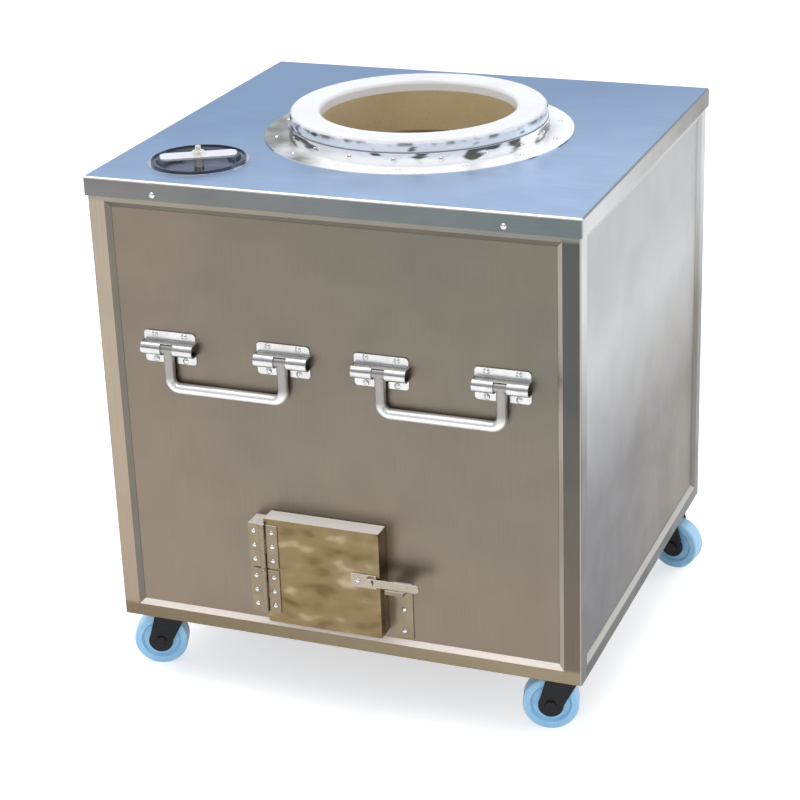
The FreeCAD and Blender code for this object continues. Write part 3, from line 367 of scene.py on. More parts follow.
def span(tree, value, low, high, to_low=0.0, to_high=1.0):
    """Value mapped from low..high to to_low..to_high, held at the ends."""
    inputs = {"Value": value, "From Min": low, "From Max": high, "To Min": to_low, "To Max": to_high}
    return make(tree, "ShaderNodeMapRange", inputs).outputs[0]


def past(tree, value, edge, fade, most=1.0):
    """How far a value is past an edge, from 0 to the most over the fade's two distances from it."""
    start, end = fade
    return span(tree, value, edge + start, edge + end, to_high=most)


def ramp(tree, value, stops):
    """Colour ramp through (place, colour) stops."""
    node = make(tree, "ShaderNodeValToRGB", {0: value})
    elements = node.color_ramp.elements
    while len(elements) < len(stops):
        elements.new(0.5)
    for element, (place, colour) in zip(elements, stops):
        element.position = place
        element.color = (*colour, 1)
    return node.outputs[0]


def cloud(tree, vector, scale, detail, stretch=None):
    """Noise from 0 to 1 over the given coordinates."""
    if stretch:
        vector = make(tree, "ShaderNodeMapping", {"Vector": vector, "Scale": stretch}).outputs[0]
    inputs = {"Vector": vector, "Scale": scale, "Detail": detail}
    return make(tree, "ShaderNodeTexNoise", inputs).outputs["Fac"]


def wander(tree, vector, reach, scale, detail, stretch=None):
    """Noise that wanders from -reach to reach."""
    return span(tree, cloud(tree, vector, scale, detail, stretch), *NOISE_SPREAD, -reach, reach)


def bump(tree, height, distance, strength, normal=None):
    """Normal that follows a height, over another normal where one is given."""
    inputs = {"Height": height, "Distance": distance, "Strength": strength}
    if normal:
        inputs["Normal"] = normal
    return make(tree, "ShaderNodeBump", inputs).outputs[0]


def soft_edge(tree, radius):
    return make(tree, "ShaderNodeBevel", {"Radius": radius}, samples=EDGE_SAMPLES).outputs[0]


def parts_of(tree, vector):
    return make(tree, "ShaderNodeSeparateXYZ", {0: vector}).outputs


def facing(tree):
    """The way the surface faces: how far to either side, to the rear and up."""
    parts = parts_of(tree, make(tree, "ShaderNodeTexCoord").outputs["Normal"])
    return math_node(tree, "ABSOLUTE", parts["X"]), parts["Y"], parts["Z"]


def to_right(tree, coords):
    """From 0 on the casing's left to 1 on its right."""
    return span(tree, parts_of(tree, coords)["X"], -SIDE_REACH, SIDE_REACH)


def darker(colour, share):
    return tuple(share * part for part in colour[:3]) + (1,)


def start_material(name):
    """New material with an empty tree, its principled shader and the object's coordinates."""
    material = bpy.data.materials.new(name)
    material.use_nodes = True
    tree = material.node_tree
    tree.nodes.clear()
    shader = make(tree, "ShaderNodeBsdfPrincipled")
    output = make(tree, "ShaderNodeOutputMaterial")
    tree.links.new(shader.outputs[0], output.inputs[0])
    coords = make(tree, "ShaderNodeTexCoord").outputs["Object"]
    return material, tree, shader, coords


# Stage materials

def floor_paint():
    """Pale floor that keeps the shadow and glows a little for what sees it directly or in metal."""
    material, tree, shader, _ = start_material("floor")
    rays = make(tree, "ShaderNodeLightPath").outputs
    kinds = [rays[kind] for kind in ("Is Camera Ray", "Is Glossy Ray", "Is Transmission Ray")]
    glow = math_node(tree, "MULTIPLY", fold_nodes(tree, "MAXIMUM", *kinds), FLOOR_GLOW)
    wire(tree, shader, Base_Color=FLOOR_COLOUR, Roughness=0.9)
    wire(tree, shader, Emission_Color=(1, 1, 1, 1), Emission_Strength=glow)
    return material


# Satin steel and its tones, which hold painted reflection, highlight and shade

def satin_steel(name, tone_of, grain, roughness, lit_bevel=False, swells=0.25):
    """Satin sheet: fine grain along one way, faint swells and smudges, and bevels that may catch light."""
    material, tree, shader, coords = start_material(name)
    lines = cloud(tree, coords, scale=1.0, detail=2.0, stretch=grain)
    shade = span(tree, lines, *GRAIN_SPREAD, to_low=0.92, to_high=1.06)
    grey = make(tree, "ShaderNodeCombineColor", {0: shade, 1: shade, 2: shade}).outputs[0]
    colour = mix(tree, 1.0, tone_of(tree, coords), grey, "MULTIPLY")
    brushed = span(tree, lines, *GRAIN_SPREAD, to_low=roughness - 0.04, to_high=roughness + 0.05)
    smudged = span(tree, cloud(tree, coords, scale=16.0, detail=5.0), low=0.4, high=0.7, to_high=0.07)
    rough = math_node(tree, "ADD", brushed, smudged)
    swell = cloud(tree, coords, scale=7.0, detail=2.0)
    relief = bump(tree, swell, distance=0.012, strength=swells, normal=soft_edge(tree, radius=0.0008))
    relief = bump(tree, lines, distance=0.0004, strength=0.10, normal=relief)
    metal = 1.0
    if lit_bevel:
        _, _, up = facing(tree)
        metal = span(tree, up, *BEVEL_UP, to_low=metal, to_high=0.3)
    wire(tree, shader, Base_Color=colour, Metallic=metal, Roughness=rough, Normal=relief)
    return material


def front_tone(tree, coords):
    """Painted reflection: cloudy taupe, warmer to the left and low down, greyer to the upper right."""
    place = parts_of(tree, coords)
    slope = math_node(tree, "ADD", place["X"], place["Z"])
    warm = span(tree, slope, *FRONT_SLOPE, to_low=0.62, to_high=0.12)
    patch = wander(tree, coords, reach=0.2, scale=2.6, detail=2.0)
    return mix(tree, math_node(tree, "ADD", patch, warm), GREY_TAUPE, WARM_TAUPE)


def side_tone(tree, coords):
    """Painted reflection: grey on top over a sheen, below it cool to the front and warm to the rear."""
    place = parts_of(tree, coords)
    low = mix(tree, span(tree, place["Y"], *SIDE_RUN), SIDE_COOL, SIDE_WARM)
    rise = span(tree, place["Z"], *SHEEN_RISE)
    patch = wander(tree, coords, reach=0.03, scale=2.6, detail=2.0)
    sheen = mix(tree, math_node(tree, "ADD", rise, patch), low, SIDE_SHEEN)
    return mix(tree, span(tree, place["Z"], *SHEEN_END), sheen, SIDE_TOP)


def post_tone(tree, coords):
    """Painted light on left posts, painted shade on right ones in front, between rail tones at head and
    foot.

    The sides are pale above and dark below, painted sheen and shade; the right bevels are a painted
    highlight.
    """
    across, _, _ = facing(tree)
    height = parts_of(tree, coords)["Z"]
    right = to_right(tree, coords)
    fall = span(tree, height, *POST_FALL)
    light = mix(tree, fall, LEFT_POST, LEFT_POST_LOW)
    dark = mix(tree, fall, RIGHT_POST, RIGHT_POST_LOW)
    foot = past(tree, height, BASE_TOP, FOOT_FADE)
    head = past(tree, height, TOP_RAIL_LOW, HEAD_FADE)
    front = mix(tree, foot, mix(tree, right, light, dark), mix(tree, right, RAIL_LEFT, RAIL_RIGHT))
    front = mix(tree, head, front, mix(tree, right, TOP_RAIL_LEFT, TOP_RAIL_RIGHT))
    bevel = mix(tree, right, SHADE, RIGHT_BEVEL_HIGHLIGHT)
    side = mix(tree, span(tree, height, *POST_SIDE_FALL), POST_PALE, POST_SIDE_LOW)
    tone = mix(tree, span(tree, across, *POST_BEVEL), front, bevel)
    return mix(tree, span(tree, across, *POST_ASIDE), tone, side)


def rail_tone(tree, coords):
    """Warm faces, paler to the right, under a bevel with a painted highlight, and painted shade on the
    sides.
    """
    across, _, up = facing(tree)
    sideways = span(tree, across, *RAIL_ASIDE)
    front = mix(tree, to_right(tree, coords), RAIL_LEFT, RAIL_RIGHT)
    face = mix(tree, sideways, front, SIDE_RAIL_SHADE)
    bevel = mix(tree, sideways, RAIL_BEVEL_HIGHLIGHT, SIDE_BEVEL_HIGHLIGHT)
    return mix(tree, span(tree, up, *BEVEL_UP), face, bevel)


def top_rail_tone(tree, coords):
    """Faces paler to the left over painted shade on the bevel that looks down, and grey on the sides like
    the panels.
    """
    across, _, up = facing(tree)
    face = mix(tree, to_right(tree, coords), TOP_RAIL_LEFT, TOP_RAIL_RIGHT)
    front = mix(tree, span(tree, up, *BEVEL_DOWN), face, SHADE)
    return mix(tree, span(tree, across, *RAIL_ASIDE), front, SIDE_TOP)


def cover_tone(tree, coords):
    """Blue-grey on top, paler to the front right, grey round the lip, and a painted highlight on the front
    fold.
    """
    across, back, up = facing(tree)
    place = parts_of(tree, coords)
    front_lip = mix(tree, to_right(tree, coords), LIP_LEFT, LIP_RIGHT)
    side_lip = mix(tree, span(tree, place["Y"], *LIP_RUN), LIP_SIDE, LIP_FAR)
    lip = mix(tree, span(tree, across, *LIP_ASIDE), front_lip, side_lip)
    fold = mix(tree, span(tree, back, *FOLD_BACK), EDGE_HIGHLIGHT, FOLD_REFLECTION)
    slant = math_node(tree, "MULTIPLY", place["X"], TOP_SLANT)
    near = span(tree, math_node(tree, "SUBTRACT", slant, place["Y"]), *TOP_RUN)
    patch = wander(tree, coords, reach=0.12, scale=2.2, detail=3.0)
    top = mix(tree, math_node(tree, "ADD", patch, near), SKY_REFLECTION_BLUE, PALE_REFLECTION_BLUE)
    tone = mix(tree, span(tree, up, *FOLD_UP), lip, fold)
    return mix(tree, span(tree, up, *COVER_UP), tone, top)


# Bright steel

def haze_of(tree, coords):
    """Faint haze from 0 to 1."""
    return span(tree, cloud(tree, coords, scale=60.0, detail=4.0), *HAZE_SPREAD)


def hazed(tree, haze, roughness):
    """Roughness that is a little higher in the haze."""
    return span(tree, haze, 0.0, 1.0, to_low=roughness, to_high=roughness + HAZE_DULL)


def polished_steel(name, colour, roughness, metal=1.0, top=None):
    """Bright sheet or bar with a faint haze and small waves, whose upper faces may take a painted
    highlight.
    """
    material, tree, shader, coords = start_material(name)
    haze = haze_of(tree, coords)
    tone = mix(tree, haze, colour, darker(colour, share=0.86))
    if top:
        _, _, up = facing(tree)
        tone = mix(tree, span(tree, up, *EDGE_UP), tone, top)
        metal = span(tree, up, *EDGE_UP, to_low=metal, to_high=0.2)
    waves = cloud(tree, coords, scale=28.0, detail=1.5)
    relief = bump(tree, waves, distance=0.004, strength=0.5, normal=soft_edge(tree, radius=0.0006))
    rough = hazed(tree, haze, roughness)
    wire(tree, shader, Base_Color=tone, Metallic=metal, Roughness=rough, Normal=relief)
    return material


def grip_steel():
    """Round bar, bright along the grip and darker up its legs, a painted reflection of the panel."""
    material, tree, shader, coords = start_material("grip_steel")
    leg = past(tree, parts_of(tree, coords)["Z"], GRIP_LOW, LEG_FADE)
    tone = mix(tree, leg, GRIP_LIGHT, LEG_REFLECTION)
    rough = hazed(tree, haze_of(tree, coords), roughness=0.30)
    wire(tree, shader, Base_Color=tone, Metallic=0.6, Roughness=rough)
    return material


def around_mouth(tree, coords):
    """Angle about the mouth from the front, and that angle with the height as coordinates."""
    offset = make(tree, "ShaderNodeVectorMath", {0: coords, 1: MOUTH}, operation="SUBTRACT").outputs[0]
    parts = parts_of(tree, offset)
    forward = math_node(tree, "MULTIPLY", parts["Y"], -1.0)
    angle = math_node(tree, "ARCTAN2", parts["X"], forward)
    return angle, make(tree, "ShaderNodeCombineXYZ", {"X": angle, "Y": parts["Z"]}).outputs[0]


def mirrored_patches(tree, angle, rolled, stretch, share):
    """Soft dark patches of painted reflection of the surroundings, more to the sides and most on the left.
    """
    patch = cloud(tree, rolled, scale=1.0, detail=1.2, stretch=stretch)
    streak = wander(tree, rolled, reach=0.07, scale=1.0, detail=1.5, stretch=CHROME_STREAKS)
    aside = math_node(tree, "ABSOLUTE", angle)
    turned = span(tree, aside, low=0.25, high=1.2, to_low=-0.06, to_high=0.07)
    left = span(tree, angle, low=-0.3, high=-0.75, to_high=0.13)
    total = fold_nodes(tree, "ADD", patch, streak, turned, left)
    return span(tree, total, share, share + PATCH_EDGE)


def finish_chrome(tree, shader, coords, tone, metal=CHROME_METAL):
    """Hand-formed bright surface of the given tone."""
    waves = cloud(tree, coords, scale=24.0, detail=2.0)
    relief = bump(tree, waves, distance=0.006, strength=0.5, normal=soft_edge(tree, radius=0.0006))
    wire(tree, shader, Base_Color=tone, Metallic=metal, Roughness=0.2, Normal=relief)


def collar_chrome():
    """Hand-formed collar: wall with painted reflection patches over a flange with painted reflection."""
    material, tree, shader, coords = start_material("collar_chrome")
    angle, rolled = around_mouth(tree, coords)
    dark = mirrored_patches(tree, angle, rolled, COLLAR_PATCHES, share=0.57)
    wall = mix(tree, dark, CHROME_LIGHT, CHROME_REFLECTED_DARK)
    _, _, up = facing(tree)
    tone = mix(tree, span(tree, up, *FLANGE_UP), wall, flange_tone(tree, coords))
    metal = span(tree, up, *FLANGE_UP, to_low=CHROME_METAL, to_high=0.15)
    finish_chrome(tree, shader, coords, tone, metal)
    return material


def flange_tone(tree, coords):
    """Painted reflection, bright on the right and mottled grey on the left."""
    blotch = span(tree, cloud(tree, coords, scale=40.0, detail=3.0), low=0.36, high=0.64)
    mottle = mix(tree, blotch, SHADE, FLANGE_REFLECTED_GREY)
    drift = wander(tree, coords, reach=0.06, scale=12.0, detail=3.0)
    place = math_node(tree, "ADD", parts_of(tree, coords)["X"], drift)
    return mix(tree, span(tree, place, *FLANGE_REFLECTION_RUN), mottle, CHROME_LIGHT)


def band_chrome():
    """Bright band: a few painted reflection patches, dashes on its upper edge, painted shade at the collar
    seam.
    """
    material, tree, shader, coords = start_material("band_chrome")
    angle, rolled = around_mouth(tree, coords)
    height = parts_of(tree, coords)["Z"]
    patches = mirrored_patches(tree, angle, rolled, BAND_PATCHES, share=0.65)
    rim = past(tree, height, BAND_TOP, RIM_FADE, most=0.8)
    broken = cloud(tree, rolled, scale=1.0, detail=2.0, stretch=BAND_DASHES)
    dashes = math_node(tree, "MULTIPLY", rim, span(tree, broken, low=0.48, high=0.58))
    # Painted shade at the seam where the band meets the collar
    seam = past(tree, height, COLLAR_TOP, SEAM_SHADE_FADE, most=0.8)
    dark = fold_nodes(tree, "MAXIMUM", patches, dashes, seam)
    finish_chrome(tree, shader, coords, mix(tree, dark, CHROME_LIGHT, CHROME_REFLECTED_DARK))
    return material


def door_gold():
    """Warm bright sheet with soft dents, and a fold on top painted with a highlight."""
    material, tree, shader, coords = start_material("door_sheet")
    _, _, up = facing(tree)
    streak = cloud(tree, coords, scale=1.0, detail=1.5, stretch=DOOR_GRAIN)
    tone = mix(tree, span(tree, up, *DOOR_UP), ramp(tree, streak, DOOR_STOPS), EDGE_HIGHLIGHT)
    metal = span(tree, up, *DOOR_UP, to_low=1.0, to_high=0.15)
    relief = bump(tree, streak, distance=0.004, strength=0.25, normal=soft_edge(tree, radius=0.0006))
    wire(tree, shader, Base_Color=tone, Metallic=metal, Roughness=0.24, Normal=relief)
    return material


# Ceramics, iron, plastic and rubber

def earthen(name, first, second, roughness, grit, distance):
    """Rough fired surface with grit and broad patches."""
    material, tree, shader, coords = start_material(name)
    patch = cloud(tree, coords, scale=9.0, detail=4.0)
    grain = cloud(tree, coords, scale=grit, detail=5.0)
    tone = mix(tree, span(tree, patch, low=0.35, high=0.68), first, second)
    pits = span(tree, grain, low=0.55, high=0.75, to_high=0.3)
    tone = mix(tree, pits, tone, darker(first, share=0.65))
    relief = bump(tree, grain, distance, strength=0.6)
    relief = bump(tree, patch, 4 * distance, strength=0.4, normal=relief)
    wire(tree, shader, Base_Color=tone, Roughness=roughness, Normal=relief)
    return material


def white_ring():
    """Smooth white fired ring with faint grey clouding, a few specks and painted light on its walls."""
    material, tree, shader, coords = start_material("white_ring")
    patch = cloud(tree, coords, scale=14.0, detail=4.0)
    fine = cloud(tree, coords, scale=180.0, detail=3.0)
    _, _, up = facing(tree)
    tone = mix(tree, span(tree, patch, low=0.4, high=0.75), RING_WHITE, RING_CLOUD)
    tone = mix(tree, span(tree, fine, low=0.68, high=0.76, to_high=0.5), tone, RING_SPECK)
    tone = mix(tree, span(tree, up, *RING_UP), tone, RING_WALL_LIT)
    relief = bump(tree, fine, distance=0.0006, strength=0.3)
    relief = bump(tree, patch, distance=0.004, strength=0.25, normal=relief)
    rough = span(tree, patch, *NOISE_SPREAD, to_low=0.38, to_high=0.55)
    wire(tree, shader, Base_Color=tone, Roughness=rough, Normal=relief)
    return material


def moulded(name, colour, fleck, roughness, gloss=0.5):
    """Moulded plastic, paint or rubber with a faint texture and scuffs."""
    material, tree, shader, coords = start_material(name)
    scuff = cloud(tree, coords, scale=70.0, detail=5.0)
    pores = cloud(tree, coords, scale=900.0, detail=2.0)
    tone = mix(tree, span(tree, scuff, low=0.5, high=0.75), colour, fleck)
    rough = span(tree, scuff, low=0.35, high=0.7, to_low=roughness, to_high=roughness + 0.18)
    relief = bump(tree, pores, distance=0.0003, strength=0.3, normal=soft_edge(tree, radius=0.0008))
    wire(tree, shader, Base_Color=tone, Roughness=rough, Specular_IOR_Level=gloss, Normal=relief)
    return material


def cast_iron():
    """Grainy dark iron, dusted with ash."""
    material, tree, shader, coords = start_material("cast_iron")
    dust = span(tree, cloud(tree, coords, scale=24.0, detail=5.0), low=0.5, high=0.8)
    relief = bump(tree, cloud(tree, coords, scale=300.0, detail=4.0), distance=0.001, strength=0.5)
    tone = mix(tree, dust, IRON, ASH)
    wire(tree, shader, Base_Color=tone, Metallic=0.6, Roughness=0.72, Normal=relief)
    return material


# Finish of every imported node

def at_corners(prefix):
    return [prefix + corner for corner in CORNERS]


def dress(material, *names):
    """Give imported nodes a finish."""
    for name in names:
        NODES[name].data.materials.clear()
        NODES[name].data.materials.append(material)


def dress_casing():
    # One steel in several materials, whose tones are painted reflection, highlight and shade for each face
    front = satin_steel("front_sheet", front_tone, UPRIGHT_GRAIN, roughness=0.36)
    side = satin_steel("side_sheet", side_tone, UPRIGHT_GRAIN, roughness=0.44, swells=0.03)
    posts = satin_steel("frame_upright", post_tone, UPRIGHT_GRAIN, roughness=0.34)
    base = satin_steel("base_rails", rail_tone, LEVEL_GRAIN, roughness=0.34, lit_bevel=True)
    top = satin_steel("top_rails", top_rail_tone, LEVEL_GRAIN, roughness=0.34)
    cover = satin_steel("cover_sheet", cover_tone, LEVEL_GRAIN, roughness=0.40)
    dress(front, "front_panel")
    dress(side, "left_panel", "right_panel", "rear_panel", "floor_plate")
    dress(posts, *at_corners("corner_post_"))
    dress(base, "base_frame")
    dress(top, "top_frame")
    dress(cover, "top_cover")


def dress_mouth():
    """Collar, band and ring, and the pot and hearth inside."""
    clay = earthen(
        "clay", first=(0.575, 0.435, 0.225, 1), second=(0.665, 0.52, 0.305, 1),
        roughness=0.9, grit=240.0, distance=0.0008,
    )
    brick = earthen(
        "firebrick", first=(0.48, 0.38, 0.28, 1), second=(0.58, 0.47, 0.36, 1),
        roughness=0.95, grit=160.0, distance=0.002,
    )
    dress(collar_chrome(), "mouth_flange")
    dress(band_chrome(), "collar_band")
    dress(white_ring(), "rim_ring")
    dress(clay, "clay_pot", "pot_base_ring")
    dress(brick, "hearth_slab")
    dress(cast_iron(), "charcoal_grate")


def dress_vent():
    sleeve = polished_steel("polished_steel", colour=(0.80, 0.80, 0.80, 1), roughness=0.12)
    dish = polished_steel("vent_dish", colour=(0.13, 0.14, 0.18, 1), roughness=0.10)
    strip = polished_steel("strip_steel", colour=(0.94, 0.94, 0.94, 1), roughness=0.34, metal=0.6)
    bolt = polished_steel("bolt_steel", colour=(0.92, 0.88, 0.79, 1), roughness=0.28, metal=0.5)
    dress(sleeve, "vent_sleeve")
    dress(dish, "vent_lid")
    dress(strip, "vent_lid_strip")
    dress(bolt, "vent_lid_bolt")


def dress_handles():
    bracket = polished_steel("bracket_steel", colour=(0.65, 0.64, 0.62, 1), roughness=0.26)
    dress(bracket, "handle_brackets")
    dress(grip_steel(), "left_handle", "right_handle")


def dress_door():
    """Door with its tunnel, hinges and latch. Returns the door's finish."""
    sheet = door_gold()
    # Upper faces of the hinges and latch take a painted highlight
    hinge = polished_steel("hinge_steel", colour=(0.255, 0.205, 0.140, 1), roughness=0.26, top=EDGE_HIGHLIGHT)
    latch = polished_steel("latch_steel", colour=(0.38, 0.33, 0.255, 1), roughness=0.24, top=EDGE_HIGHLIGHT)
    dress(sheet, "ash_door", "ash_tunnel")
    dress(hinge, "hinge_blocks", "hinge_casing_leaves", "hinge_door_leaves", "hinge_pins", "latch_keeper")
    dress(latch, "latch_plate", "latch_bar", "latch_pivot")
    return sheet


def dress_fasteners():
    """All groups of screws, rivets and bolts. Returns their finish."""
    steel = polished_steel("fastener_steel", colour=(0.82, 0.81, 0.80, 1), roughness=0.2)
    dress(steel, *(name for name in NODES if name.endswith(("_screws", "_rivets", "_bolts"))))
    return steel


def dress_casters():
    """Castor plates, forks, axles, wheels and tyres. Returns the dark paint."""
    paint = moulded(
        "caster_paint", colour=(0.011, 0.011, 0.013, 1), fleck=(0.022, 0.022, 0.024, 1),
        roughness=0.42, gloss=0.25,
    )
    wheel = moulded("wheel_blue", colour=(0.36, 0.69, 0.99, 1), fleck=(0.45, 0.75, 0.99, 1), roughness=0.22)
    tyre = moulded("tyre_pale", colour=(0.44, 0.73, 0.98, 1), fleck=(0.52, 0.76, 0.94, 1), roughness=0.45)
    dress(paint, "caster_plates", *at_corners("caster_fork_"), *at_corners("caster_axle_"))
    dress(wheel, *at_corners("caster_wheel_"))
    dress(tyre, *at_corners("caster_tyre_"))
    return paint


# Helpers for the pieces made here

def add_piece(name, form, material, body, slot, *replaced):
    """Turn a bmesh into a piece that rides on a body and stands for the named nodes."""
    bmesh.ops.recalc_face_normals(form, faces=form.faces)
    mesh = bpy.data.meshes.new(name)
    form.to_mesh(mesh)
    form.free()
    mesh.polygons.foreach_set("use_smooth", [True] * len(mesh.polygons))
    mesh.set_sharp_from_angle(angle=SHARP_ANGLE)
    mesh.materials.append(material)
    piece = new_object(name, mesh)
    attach(piece, body)
    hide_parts(*replaced)


def lathe(form, profile, steps, place):
    """Closed solid turned from (radius, height) points about Z, which starts and ends on the axis."""
    rings = []
    for radius, height in profile:
        if radius == 0:
            rings.append([form.verts.new(place @ Vector((0, 0, height)))])
            continue
        angles = [2 * math.pi * step / steps for step in range(steps)]
        spots = [Vector((radius * math.cos(angle), radius * math.sin(angle), height)) for angle in angles]
        rings.append([form.verts.new(place @ spot) for spot in spots])
    for lower, upper in zip(rings, rings[1:]):
        for step in range(steps):
            after = (step + 1) % steps
            corners = [
                lower[step % len(lower)],
                lower[after % len(lower)],
                upper[after % len(upper)],
                upper[step % len(upper)],
            ]
            form.faces.new(list(dict.fromkeys(corners)))


def rod(radius, low, high):
    """Profile of a round rod or disc between two heights."""
    return [(0, low), (radius, low), (radius, high), (0, high)]


def upright_to(axis):
    """Turn that points +Z along an axis."""
    return axis.to_track_quat("Z", "Y").to_matrix().to_4x4()


def islands(name):
    """Lowest and highest corners of each separate solid of a node."""
    form = bmesh.new()
    form.from_mesh(NODES[name].data)
    bmesh.ops.remove_doubles(form, verts=form.verts, dist=WELD_DISTANCE)
    boxes = []
    for start in form.verts:
        if start.tag:
            continue
        start.tag = True
        found = [start]
        for vert in found:
            for edge in vert.link_edges:
                other = edge.other_vert(vert)
                if not other.tag:
                    other.tag = True
                    found.append(other)
        axes = list(zip(*(vert.co for vert in found)))
        boxes.append((Vector(map(min, axes)), Vector(map(max, axes))))
    form.free()
    return boxes


# Door

def dents(kind, x, z):
    """Swell of one kind of dent at a place on the door."""
    return kind["share"] * noise.noise(Vector((kind["across"] * x, kind["layer"], kind["up"] * z)))


def door_dent(x, z, border, fittings):
    """Depth of the dents at a place on the door's face, none at its edges and under its fittings."""
    low, high = border
    room = min(x - low[0], high[0] - x, z - low[2], high[2] - z)
    for first, last in fittings:
        aside = max(first[0] - x, x - last[0], 0)
        above = max(first[2] - z, z - last[2], 0)
        room = min(room, math.hypot(aside, above))
    fade = min(1.0, max(0.0, room / DOOR_FADE))
    depth = DENT_LEVEL + dents(BROAD_DENTS, x, z) + dents(SMALL_DENTS, x, z)
    return fade * DOOR_WAVE * min(1.0, max(0.0, depth))


def join_loops(form, first, second):
    """Faces between two closed loops with equally many points."""
    for index in range(len(first)):
        after = (index + 1) % len(first)
        form.faces.new((first[index], first[after], second[after], second[index]))


def tray_skin(form, inset, border, fittings):
    """One skin of the tray. Returns the loop of points round its face and the one round its back."""
    low, high = border
    left, right = low.x + inset, high.x - inset
    bottom, top = low.z + inset, high.z - inset
    grid = []
    for row in range(DOOR_STEPS + 1):
        z = bottom + (top - bottom) * row / DOOR_STEPS
        line = []
        for column in range(DOOR_STEPS + 1):
            x = left + (right - left) * column / DOOR_STEPS
            dent = door_dent(x, z, border, fittings)
            line.append(form.verts.new((x, low.y + inset + dent, z)))
        grid.append(line)
    right_edge = [line[-1] for line in grid[1:]]
    left_edge = [line[0] for line in grid[-2:0:-1]]
    edge = grid[0] + right_edge + grid[-1][-2::-1] + left_edge
    rim = [form.verts.new((vert.co.x, high.y, vert.co.z)) for vert in edge]
    for first, second in zip(grid, grid[1:]):
        for column in range(DOOR_STEPS):
            form.faces.new((first[column], first[column + 1], second[column + 1], second[column]))
    join_loops(form, edge, rim)
    return edge, rim


def door_sheet(material):
    """Folded door tray whose face is dented by hand work."""
    border = [Vector(corner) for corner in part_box("ash_door")]
    fittings = [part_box(name) for name in ("hinge_door_leaves", "latch_plate")]
    form = bmesh.new()
    edge, outer = tray_skin(form, 0.0, border, fittings)
    _, inner = tray_skin(form, DOOR_SHEET, border, fittings)
    join_loops(form, outer, inner)
    face_edge = set(edge)
    folds = [line for line in form.edges if face_edge.issuperset(line.verts)]
    bmesh.ops.bevel(form, geom=folds, offset=DOOR_ROUND, segments=3, profile=0.5, affect="EDGES")
    add_piece("door_tray", form, material, "ash_door", "door_steel", "ash_door")


# Screws

def screw_blank():
    """Domed screw head on its shank, its head towards +Z and its seat at zero."""
    low, high = islands("handle_screws")[0]
    radius = (high.x - low.x) / 2
    shank = radius * SHANK_SHARE
    foot = [(0, -SHANK_LENGTH), (shank, -SHANK_LENGTH), (shank, 0), (radius, 0)]
    dome = [(radius * math.cos(turn), HEAD_HEIGHT * math.sin(turn)) for turn in DOME_TURNS]
    form = bmesh.new()
    lathe(form, foot + dome + [(0, HEAD_HEIGHT)], ROUND_STEPS, Matrix())
    return form


def cross_cutter():
    """Upright cross that stands in the head and reaches out of its top."""
    half = RECESS_WIDTH / 2
    arm = [Vector((RECESS_REACH, -half, 0)), Vector((RECESS_REACH, half, 0)), Vector((half, half, 0))]
    plan = [Matrix.Rotation(math.pi / 2 * turn, 4, "Z") @ spot for turn in range(4) for spot in arm]
    bottom = Vector((0, 0, HEAD_HEIGHT - RECESS_DEPTH))
    form = bmesh.new()
    cross = form.faces.new([form.verts.new(spot + bottom) for spot in plan])
    raised = bmesh.ops.extrude_face_region(form, geom=[cross])["geom"]
    lifted = [item for item in raised if isinstance(item, bmesh.types.BMVert)]
    bmesh.ops.translate(form, verts=lifted, vec=(0, 0, 2 * RECESS_DEPTH))
    return form


def carved(form, cutter):
    """Mesh of the first form with the second one cut away."""
    made = []
    for name, shape in (("blank", form), ("cutter", cutter)):
        bmesh.ops.recalc_face_normals(shape, faces=shape.faces)
        mesh = bpy.data.meshes.new(name)
        shape.to_mesh(mesh)
        shape.free()
        made.append(new_object(name, mesh))
    blank, tool = made
    change = blank.modifiers.new("recess", "BOOLEAN")
    change.operation = "DIFFERENCE"
    change.solver = "EXACT"
    change.object = tool
    result = bpy.data.meshes.new_from_object(blank.evaluated_get(bpy.context.evaluated_depsgraph_get()))
    for thing in made:
        bpy.data.meshes.remove(thing.data)
    return result


def way_out(spot):
    """Direction out of the casing through the side that a place lies on."""
    away = spot - CASING
    if abs(away.x) > abs(away.y):
        return Vector((math.copysign(1, away.x), 0, 0))
    return Vector((0, math.copysign(1, away.y), 0))


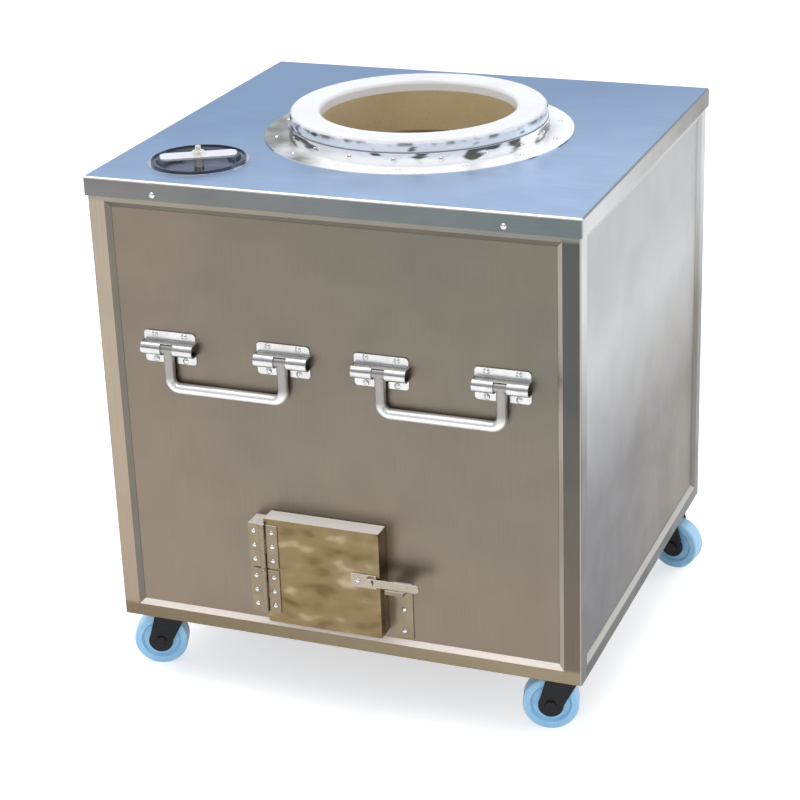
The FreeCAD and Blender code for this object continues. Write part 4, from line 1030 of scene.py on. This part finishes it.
def screws(material):
    """Cross-recessed screws in place of the plain ones."""
    head = carved(screw_blank(), cross_cutter())
    for name in ("top_cover_screws", "handle_screws"):
        form = bmesh.new()
        for low, high in islands(name):
            centre = (low + high) / 2
            out = way_out(centre)
            half = abs((high - low).dot(out)) / 2
            seat = centre + out * (half - HEAD_HEIGHT)
            copy = head.copy()
            copy.transform(Matrix.Translation(seat) @ upright_to(out))
            form.from_mesh(copy)
            bpy.data.meshes.remove(copy)
        add_piece("recessed_" + name, form, material, "cabinet", "fastener_steel", name)
    bpy.data.meshes.remove(head)


# Axle bolts

def leg_reach(corner, axis, pivot):
    """Distance along the axle from the wheel's middle to the outside of a fork leg."""
    points = [Vector(vert.co) for vert in NODES["caster_fork_" + corner].data.vertices]
    return max(abs((point - pivot).dot(axis)) for point in points if point.z < pivot.z)


def nut_profile(low, high):
    """Profile of a nut with a chamfer round its top."""
    return [
        (0, low),
        (NUT_CORNER, low),
        (NUT_CORNER, high - NUT_CHAMFER),
        (NUT_CORNER * NUT_TOP_SHARE, high),
        (0, high),
    ]


def axle_bolts(material):
    """Axle bolts with a six-sided head and nut over round washers."""
    for corner in CORNERS:
        joint = JOINTS[corner + "_roll"]
        axis = Vector(joint["axis"])
        pivot = Vector(joint["pos_m"])
        place = Matrix.Translation(pivot) @ upright_to(axis)
        leg = leg_reach(corner, axis, pivot)
        washer = leg + WASHER_THICKNESS
        form = bmesh.new()
        lathe(form, rod(AXLE_RADIUS, -leg, leg), ROUND_STEPS, place)
        for side in (1, -1):
            flip = place @ Matrix.Diagonal((1, 1, side, 1))
            lathe(form, rod(WASHER_RADIUS, leg, washer), ROUND_STEPS, flip)
            lathe(form, nut_profile(washer, leg + NUT_STAND), NUT_SIDES, flip)
        name = "axle_bolt_" + corner
        add_piece(name, form, material, corner + "_fork", "axle_steel", "caster_axle_" + corner)


# The scene

add_camera()
add_world()
add_floor()
add_lamp("top_light", place=(-0.6, -0.4, 4.2), aim=(0, 0, 0.4), size=4.0, watts=100)
add_lamp("right_light", place=(3.2, 2.6, 1.8), aim=(0.3, 0, 0.4), size=2.4, watts=25)
add_lamp("front_fill", place=(0.6, -3.2, 1.2), aim=(0, -0.3, 0.3), size=2.0, watts=20, mirrored=False)
dress_casing()
dress_mouth()
dress_vent()
dress_handles()
door_sheet(dress_door())
screws(dress_fasteners())
axle_bolts(dress_casters())

bpy.context.scene.view_settings.view_transform = "Standard"
